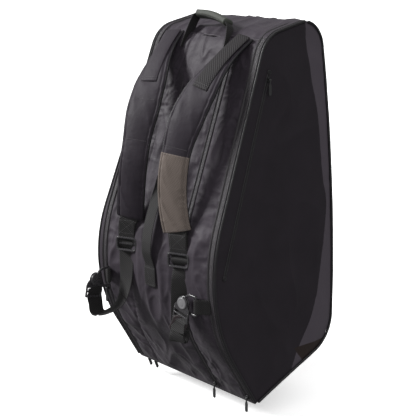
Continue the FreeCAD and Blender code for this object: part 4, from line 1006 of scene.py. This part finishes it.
def frame_loop(half_x, half_z, corner, width, thickness, y):
    """A closed rectangular frame with round corners: the path is |x/hx|^n + |z/hz|^n = 1."""
    t = np.linspace(0.0, 2 * np.pi, 97)[:-1]
    power = 2.0 / corner
    path = np.stack([np.sign(np.cos(t)) * np.abs(np.cos(t)) ** power * half_x, 0 * t + y,
                     np.sign(np.sin(t)) * np.abs(np.sin(t)) ** power * half_z], axis=-1)
    path = even_steps(np.concatenate([path, path[:1]]), 1.6)[0]
    end = len(path) - 2
    tangent = path[np.r_[1:end + 1, 1, 1]] - path[np.r_[end, 0:end, end]]
    normal = np.cross(tangent / np.linalg.norm(tangent, axis=1, keepdims=True), (0.0, 1.0, 0.0))
    a, b = strip_outline(width, thickness, moulded, 18)
    grid = path[:, None] + a[..., None] * normal[:, None] + b[..., None] * np.array([0.0, 1.0, 0.0])
    return grid, True, False, None


lock_parts = [frame_loop(22.6, 13.2, 8.0, 4.4, 6.4, -1.4),
              bar((-21, 2.6, 9.0), (21, 2.6, 9.0), 3.2, 3.2, (0, 0, 1.0)),
              bar((-21, 0.2, 0.0), (21, 0.2, 0.0), 4.4, 4.2, (0, 0, 1.0)),
              bar((-20, -4.4, -13.6), (20, -4.4, -13.6), 3.0, 3.0, (0, 0.35, 1.0))]
for side, sign in both_sides:
    surfaces = turned_by(lock_parts, lock_across, -lock_outward, (0.0, 0.0, 1.0),
                         (sign * 80.0, -114.5, 322.5))
    lock = build("ladder_buckle_" + side, surfaces, acetal, "strap_" + side)
    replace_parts(lock, "ladder_lock_" + side)

# ------------------------------------------------------------ swivel buckles
# A webbing tab on the bag holds the bar of a moulded D-loop, and a ladder frame turns on a rivet
# under a round grey cap. The strap's loose webbing is threaded round the ladder's lowest bar.
cap_plastic = painted("cap_grey_plastic", (0.135, 0.133, 0.138), 0.38, (0.19, 0.188, 0.195))
rivet_x = 34.0


def rivet_disc(radii, heights, count=48):
    """A turned piece on the rivet: each (radius, height) pair carried once round its axis, along Y."""
    t = np.linspace(0.0, 2 * np.pi, count + 1)[None, :-1]
    r, h = np.asarray(radii, float)[:, None], np.asarray(heights, float)[:, None]
    return tube(np.stack([rivet_x + r * np.cos(t), h + 0 * t, -r * np.sin(t)], axis=-1))


tilt_cos, tilt_sin = np.cos(np.radians(-12.0)), np.sin(np.radians(-12.0))


def in_place(surfaces, side):
    """Buckle pieces are drawn with the bar at the origin, reaching out along +X. The right-hand
    buckle reaches towards -X and the left one towards -Y."""
    x_axis, y_axis = ((-1.0, 0.0, 0.0), (0.0, -1.0, 0.0)) if side == "right" else ((0.0, -1.0, 0.0), level)
    seat_x = 136.0 if side == "right" else -136.0
    return turned_by(surfaces, x_axis, y_axis, (0.0, 0.0, 1.0), (seat_x, -122.0, 240.0))


def tilted(surfaces, side):
    """Pieces of the ladder frame, turned 12 degrees round the rivet and then put in place."""
    swung = turned_by(surfaces, (tilt_cos, 0.0, -tilt_sin), (0.0, 1.0, 0.0), (tilt_sin, 0.0, tilt_cos),
                      (rivet_x * (1.0 - tilt_cos), 0.0, rivet_x * tilt_sin))
    return in_place(swung, side)


bow_radius = 19.7
t = np.linspace(-np.pi / 2, np.pi / 2, 30)
bow = np.stack([14.0 + bow_radius * np.cos(t), 0 * t, bow_radius * np.sin(t)], axis=-1)
bow = [(0, 0, -bow_radius), (7, 0, -bow_radius), *bow, (7, 0, bow_radius), (0, 0, bow_radius)]
bow = even_steps(bow, 1.5)[0]
a, b = strip_outline(5.29, 4.83, 3.0, 18)
for side, facing in both_sides:
    surfaces = [tube(swept(bow, (0.0, 1.0, 0.0), b, a)),
                bar((0, 0, -21.4), (0, 0, 21.4), 5.2, 5.2, level, 2.0),
                rivet_disc((0.3, 12.4, 14.0, 14.4, 14.0, 12.4, 0.3), (-2.1, -2.1, -1.5, 0.0, 1.5, 2.1, 2.1)),
                rivet_disc((3.9, 3.9), (0.0, 6.6 * facing), 24)]
    d_loop = build("swivel_d_loop_" + side, in_place(surfaces, side), acetal, "d_loop_body_" + side)
    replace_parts(d_loop, "d_loop_" + side)
    cap = rivet_disc((0.3, 3.4, 6.2, 6.9, 7.6, 10.8, 11.9, 12.2, 12.0, 0.3),
                     facing * (6.8 + np.array((2.2, 2.2, 2.1, 1.7, 2.1, 1.9, 1.3, 0.5, 0.0, 0.0))))
    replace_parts(build("swivel_button_" + side, in_place([cap], side), cap_plastic, "d_loop_body_" + side),
                "swivel_cap_" + side)
    plate_y, grip_y = facing * 4.8, facing * 5.3
    neck = np.linspace((rivet_x, plate_y, 2.0), (rivet_x, plate_y, -20.0), 24)
    spread = 27.5 + 16.0 * smooth_step((-neck[:, 2:3] + 2.0) / 16.0)
    hub_heights = plate_y + np.array((-1.9, -1.9, -1.3, 0.0, 1.3, 1.9, 1.9))
    surfaces = [tube(swept(neck, level, *strip_outline(spread, 3.8 * round_ends(neck, 2.0) ** 0.5, 5.0, 24))),
                rivet_disc((4.2, 13.4, 14.2, 14.4, 14.2, 13.4, 4.2), hub_heights),
                bar((14.7, plate_y, -15), (14.7, plate_y, -40.5), 4.0, 4.0, level),
                bar((53.3, plate_y, -15), (53.3, plate_y, -40.5), 4.0, 4.0, level),
                bar((14, plate_y, -27.5), (54, plate_y, -27.5), 3.8, 4.2, (0, 0, 1.0)),
                bar((13.2, grip_y, -38.7), (54.8, grip_y, -38.7), 4.4, 4.8, (0, 0, 1.0))]
    swivel = build("swivel_ladder_" + side, tilted(surfaces, side), acetal, "swivel_body_" + side)
    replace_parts(swivel, "swivel_frame_" + side)

# ------------------------------------------------------------ buckle tabs and loose webbing
# Webbing 38 mm wide hangs from each ladder lock, turns up at the bottom and goes into the swivel
# buckle; a shorter piece, folded round the D-loop's bar, ties the buckle to the seam beside the zip.
tab_rows = []
bar_loop = [(162.0, -103.5), (150.0, -112.0), (143.0, -116.3), (137.5, -117.6), (133.0, -118.6),
            (131.2, -122.0), (132.6, -125.4), (136.5, -126.6), (144.0, -122.0), (151.0, -115.6),
            (162.0, -107.5)]
bar_height = 240.0
for side, sign in both_sides:
    line = soft_path([(sign * x, y, bar_height) for x, y in bar_loop], 1.4)
    tab = build("buckle_tab_" + side,
                [tube(swept(line, (0.0, 0.0, 1.0), *strip_outline(30.0, 1.8, 6.0, 24)))], webbing_cloth,
                "bag")
    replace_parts(tab, "swivel_tabs")
    for z in (229.0, 251.0):
        row = [(sign * 145.0, -123.0, z), (sign * 156.0, -113.2, z)]
        tab_rows += stitches(row, (sign * -0.66, -0.75, 0.0))
build("buckle_tab_stitching", tab_rows, thread, "bag")

folded_tape = cloth("webbing_end_tape", (0.030, 0.023, 0.025), (0.072, 0.058, 0.062), 0.5, pitch=0.003,
                    weave=0.24, sheen=0.032, crumple=0.3, specular=0.225)


def beside_ladder(points):
    """Points drawn beside the right-hand ladder frame, put where the frame is."""
    return tilted([(np.array(points),)], "right")[0][0]


def webbing_run(name, points, across):
    """A run of flat webbing on an eased line; its width direction turns evenly from point to point."""
    points, across = np.asarray(points, float), np.asarray(across, float)
    line = soft_path(points, 2.2)
    share, here = run_of(points) / run_of(points)[-1], run_of(line) / run_of(line)[-1]
    wide = np.stack([np.interp(here, share, across[:, k]) for k in range(3)], axis=-1)
    piece = build(name, [tube(swept(line, wide, *strip_outline(37.5, 1.9, 6.0, 24)))], webbing_cloth)
    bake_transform(piece)
    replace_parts(piece, "adjuster_webbing_right" if "_right_" in name else "adjuster_webbing_left")


# directions of the webbing's width: as the ladder lock lies, twisted more on its way down, and as
# the swivel ladder lies; the two runs of each pair below share the point where they meet
twisted = (np.cos(np.radians(34.0)), np.sin(np.radians(34.0)), 0.0)
rising = (0.985, 0.170, 0.05)
along_ladder = np.diff(beside_ladder([(34.0, 0, 0), (33.0, 0, 0)]), axis=0)[0]
along_left_ladder = (0.0, -0.978, 0.208)
webbing_run("loose_webbing_right_a",
            [(82, -108.0, 334), (82, -109.6, 330), (83, -114.6, 327.5), (83.4, -116.6, 323),
             (84, -114.6, 317), (84, -110.4, 312), (84, -110.6, 304), (85, -115.5, 284), (85, -118.0, 250),
             (84, -118.0, 205), (84, -117.5, 176)],
            [lock_across] * 7 + [twisted] * 4)
webbing_run("loose_webbing_right_b",
            [(84, -117.5, 176), (84, -117.5, 166), (84.4, -120.0, 156), (86.5, -126.0, 151.6),
             (89.0, -132.0, 155), (91.0, -134.4, 164), (92.5, -134.4, 176)],
            [twisted] * 4 + [rising, rising, along_ladder])
round_bar = beside_ladder([(34, 8.8, -47), (34, 8.9, -42), (34, 6.6, -36.2), (34, 3.0, -35.4), (34, 1.4, -32),
                           (34, 1.2, -25), (34, 1.6, -18)])
webbing_run("loose_webbing_right_c", [(92.5, -134.4, 176), *round_bar], [along_ladder] * 8)
end_line = soft_path([(96, -125.2, 210), (92, -124.6, 197), (86, -124.4, 186), (80, -124.6, 176),
                      (76, -125.0, 169)], 1.2)
end_strip = tube(swept(end_line, twisted, *strip_outline(33.0 * round_ends(end_line, 9.0), 1.8, 6.0, 24)))
loose_end = build("loose_webbing_end", [end_strip], folded_tape, "swivel_body_right")
webbing_run("loose_webbing_left_a",
            [(-82, -108.0, 334), (-82, -109.6, 330), (-83, -114.6, 327.5), (-83.4, -116.6, 323),
             (-84, -114.6, 317), (-84, -110.8, 308), (-84, -114.0, 285), (-84.6, -116, 240),
             (-91, -121.5, 205)],
            [lock_across] * 6 + [(0.978, 0.208, 0.0), level, (1, -0.2, 0)])
webbing_run("loose_webbing_left_b",
            [(-91, -121.5, 205), (-96.5, -126.5, 190), (-106, -134.5, 177), (-120, -146, 166),
             (-130, -153.5, 163)],
            [(1, -0.2, 0), (1, -0.35, 0), (0.85, -0.55, 0), (0.6, -0.8, 0), (0.3, -1, 0)])
webbing_run("loose_webbing_left_c",
            [(-130, -153.5, 163), (-138, -155.6, 163.5), (-142.6, -156, 172), (-143.2, -156, 188),
             (-143.4, -158, 198), (-141.4, -159, 206.5), (-138.8, -158.8, 212), (-138.8, -158.4, 222)],
            [(0.3, -1, 0), (0.1, -1, 0), (0, -1, 0.06)] + [along_left_ladder] * 5)

# ------------------------------------------------------------ grab handle
# A loop of 22 mm webbing sewn into the top seam, with a moulded foam grip in coated fabric closed
# round it by a seam along the underside.
grip_cover = cloth("grip_coated_cloth", (0.026, 0.030, 0.025), (0.066, 0.070, 0.060), 0.52, pitch=0.0024,
                   weave=0.168, sheen=0.032, crumple=0.4, crumple_scale=120.0)
lean = np.radians(24.2)
handle_foot = (50.0, 736.0)
grip_half = 46.0


def handle_point(x, rise, depth=0.0):
    """A point of the leaning handle: rise runs up along it, depth out of its plane. Its right-hand
    end droops by 8 mm and its left end stands as much higher."""
    x, rise, depth = np.broadcast_arrays(np.asarray(x, float), np.asarray(rise, float),
                                         np.asarray(depth, float))
    rise = rise - 8.0 * (x / grip_half) * smooth_step((rise - 10.0) / 40.0)
    return np.stack([x, handle_foot[0] + rise * np.sin(lean) + depth * np.cos(lean),
                     handle_foot[1] + rise * np.cos(lean) - depth * np.sin(lean)], axis=-1)


arch = soft_path(handle_point((-62, -61, -58, -54, -49, -30, 0, 30, 49, 54, 58, 61, 62),
                              (-16, 0, 22, 40, 50, 54.5, 57, 54.5, 50, 40, 22, 0, -16)), 2.0, 3)
depth_way = (0.0, np.cos(lean), -np.sin(lean))
loop_strip = tube(swept(arch, depth_way, *strip_outline(22.0, 1.9, 6.0)))
handle = build("grab_handle_loop", [loop_strip], webbing_cloth, "bag")
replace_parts(handle, "grab_handle_webbing")
x = np.linspace(-grip_half, grip_half, 64)
crown = np.cos(np.pi * x / (2.0 * grip_half))
path = handle_point(x, 51.5 + 5.5 * crown)
end_rolls = 0.06 * np.exp(-((np.abs(x) - 44.0) / 2.5) ** 2)
swell = (1.0 + 0.05 * crown + end_rolls)[:, None] * round_ends(path, 4.0) ** 0.6
a, b = strip_outline(26.8 * swell, 15.4 * swell, 2.8, 40)
dent = 0.35 * creases(x[:, None] / 16.0, a / 14.0, 101, 2.0)
grip_tube = tube(swept(path, depth_way, a * (1 - 0.02 * dent), b * (1 - 0.05 * dent)))
grip = build("grab_handle_pad", [grip_tube], grip_cover, "bag")
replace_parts(grip, "grab_handle_grip")
grip_rows = []
for rise in (-3.6, 3.6):
    row = handle_point(np.linspace(-42.0, 42.0, 30), 53.7 + rise, -13.0 + 0.12 * abs(rise))
    grip_rows += stitches(row, (0.0, -np.cos(lean), np.sin(lean)))
build("grab_handle_stitching", grip_rows, thread, "bag")

# ------------------------------------------------------------ carry handle
# A strip of the same webbing down the middle of the strap face, slack enough for a hand, with
# both ends sewn under box-stitched patches.
carry_points = [(548, 2.4), (536, 2.6), (520, 2.8), (504, 3.4), (494, 8.0), (482, 13.6), (468, 15.4),
                (440, 16.0), (390, 19.0), (350, 18.0), (330, 16.0), (318, 14.2), (306, 9.0), (294, 4.0),
                (282, 3.0), (264, 2.8), (246, 2.6)]
carry_x = -8.0
front_rows = slice(60, 500)


def on_face(x, z, rise):
    """Points on the strap face at x and height z, rise mm in front of the drawn outline."""
    face_y = np.interp(z, profile[front_rows, 1], profile[front_rows, 0])
    return np.column_stack([x + 0 * z, face_y - rise, z])


carry_z, carry_rise = np.array(carry_points, float).T
line = soft_path(on_face(carry_x, carry_z, carry_rise + 2.6), 2.0, 2)
strip = tube(swept(line, level, *strip_outline(28.0, 2.0, 6.0, 24)))
carry = build("carry_handle_strip", [strip], webbing_cloth, "bag")
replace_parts(carry, "carry_handle", "carry_handle_patches")
patch_surfaces, patch_rows = [], []
for low_z, high_z in ((245.0, 290.0), (503.0, 549.0)):
    path = on_face(carry_x, np.linspace(low_z, high_z, 26), 6.6)
    patch_outline = strip_outline(33.0 * round_ends(path, 2.0) ** 0.4, 1.7, 6.0, 24)
    patch_surfaces.append(tube(swept(path, level, *patch_outline)))
    for box_line in box_lines(13.0, (low_z + high_z) / 2.0, 4.0 - (high_z - low_z) / 2.0, 14):
        patch_rows += stitches(on_face(carry_x + box_line[:, 0], box_line[:, 1], 7.8), (0.0, -1.0, 0.0))
carry_patches = build("carry_handle_squares", patch_surfaces, webbing_cloth, "bag")
build("carry_handle_stitching", patch_rows, thread, "bag")

# ------------------------------------------------------------ dividers
# Two padded dividers in smooth lining cloth part the three compartments. They show only when a
# side panel is open.
lining = cloth("lining_cloth", (0.020, 0.020, 0.021), (0.045, 0.045, 0.046), 0.5, sheen=0.016, crumple=0.5)
for name in ("divider_left", "divider_right"):
    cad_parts[name].data.materials.clear()
    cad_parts[name].data.materials.append(lining)

# ------------------------------------------------------------ camera, floor and light
# The bag is seen from in front of its right-hand side, a little above its middle. Three distant
# lamps light it, one hard and two soft, over a plain pale floor that fades into a white surround.
bpy.context.scene.view_settings.view_transform = "Standard"
azimuth, elevation, roll = np.radians((45.454, 15.49, -0.67))
camera_back = np.array([np.sin(azimuth) * np.cos(elevation), -np.cos(azimuth) * np.cos(elevation),
                        np.sin(elevation)])
level_right = np.array([np.cos(azimuth), np.sin(azimuth), 0.0])
level_up = np.cross(camera_back, level_right)
camera_right = np.cos(roll) * level_right + np.sin(roll) * level_up
camera_up = -np.sin(roll) * level_right + np.cos(roll) * level_up
middle_height, shift_right, shift_up, distance = 390.0, 34.2, 2.32, 2080.69
camera_place = distance * camera_back + shift_right * camera_right + shift_up * camera_up
camera_place[2] += middle_height
camera_data = bpy.data.cameras.new("camera")
camera_data.lens = 85.05
camera = bpy.data.objects.new("camera", camera_data)
bpy.context.scene.collection.objects.link(camera)
turn = Matrix((camera_right, camera_up, camera_back)).transposed().to_4x4()
camera.matrix_world = Matrix.Translation(Vector(placed(camera_place))) @ turn
bpy.context.scene.camera = camera

floor_material = bpy.data.materials.new("pale_floor")
floor_material.use_nodes = True
floor_shader = floor_material.node_tree.nodes["Principled BSDF"]
for label, value in (("Base Color", (0.80, 0.80, 0.80, 1)), ("Emission Color", (1, 1, 1, 1)),
                     ("Emission Strength", 0.5), ("Roughness", 0.9), ("Specular IOR Level", 0.0)):
    floor_shader.inputs[label].default_value = value
rings, spokes = np.meshgrid(np.geomspace(1.0, 90000.0, 24), np.linspace(0, 2 * np.pi, 65)[:-1], indexing="ij")
floor_height = -46.0
floor_grid = np.stack([rings * np.cos(spokes), rings * np.sin(spokes), 0 * rings + floor_height], axis=-1)
floor = build("floor", [(floor_grid, True, (True, False), None)], floor_material)
floor.visible_diffuse = False
floor.visible_glossy = False

for name, toward, spread, power in (("key", (-0.95, -0.70, 0.70), 16.0, 5.2),
                                    ("top", (0.30, 0.30, 1.0), 50.0, 1.1),
                                    ("fill", (1.0, -0.70, 0.45), 60.0, 1.25)):
    lamp_data = bpy.data.lights.new(name, "SUN")
    lamp_data.angle = np.radians(spread)
    lamp_data.energy = power
    lamp = bpy.data.objects.new(name, lamp_data)
    bpy.context.scene.collection.objects.link(lamp)
    lamp.location = Vector(toward) * 3.0
    lamp.rotation_euler = (-Vector(toward)).to_track_quat("-Z", "Y").to_euler()

# the surround lights the bag softly, and the camera sees it as plain white
world = bpy.data.worlds.new("surround")
world.use_nodes = True
surround = world.node_tree
soft_light = surround.nodes["Background"]
soft_light.inputs["Color"].default_value = (1, 1, 1, 1)
soft_light.inputs["Strength"].default_value = 0.26
seen_white = surround.nodes.new("ShaderNodeBackground")
seen_white.inputs["Color"].default_value = (1, 1, 1, 1)
either = surround.nodes.new("ShaderNodeMixShader")
seen = surround.nodes.new("ShaderNodeLightPath")
surround.links.new(seen.outputs["Is Camera Ray"], either.inputs["Fac"])
surround.links.new(soft_light.outputs[0], either.inputs[1])
surround.links.new(seen_white.outputs[0], either.inputs[2])
surround.links.new(either.outputs[0], surround.nodes["World Output"].inputs["Surface"])
bpy.context.scene.world = world
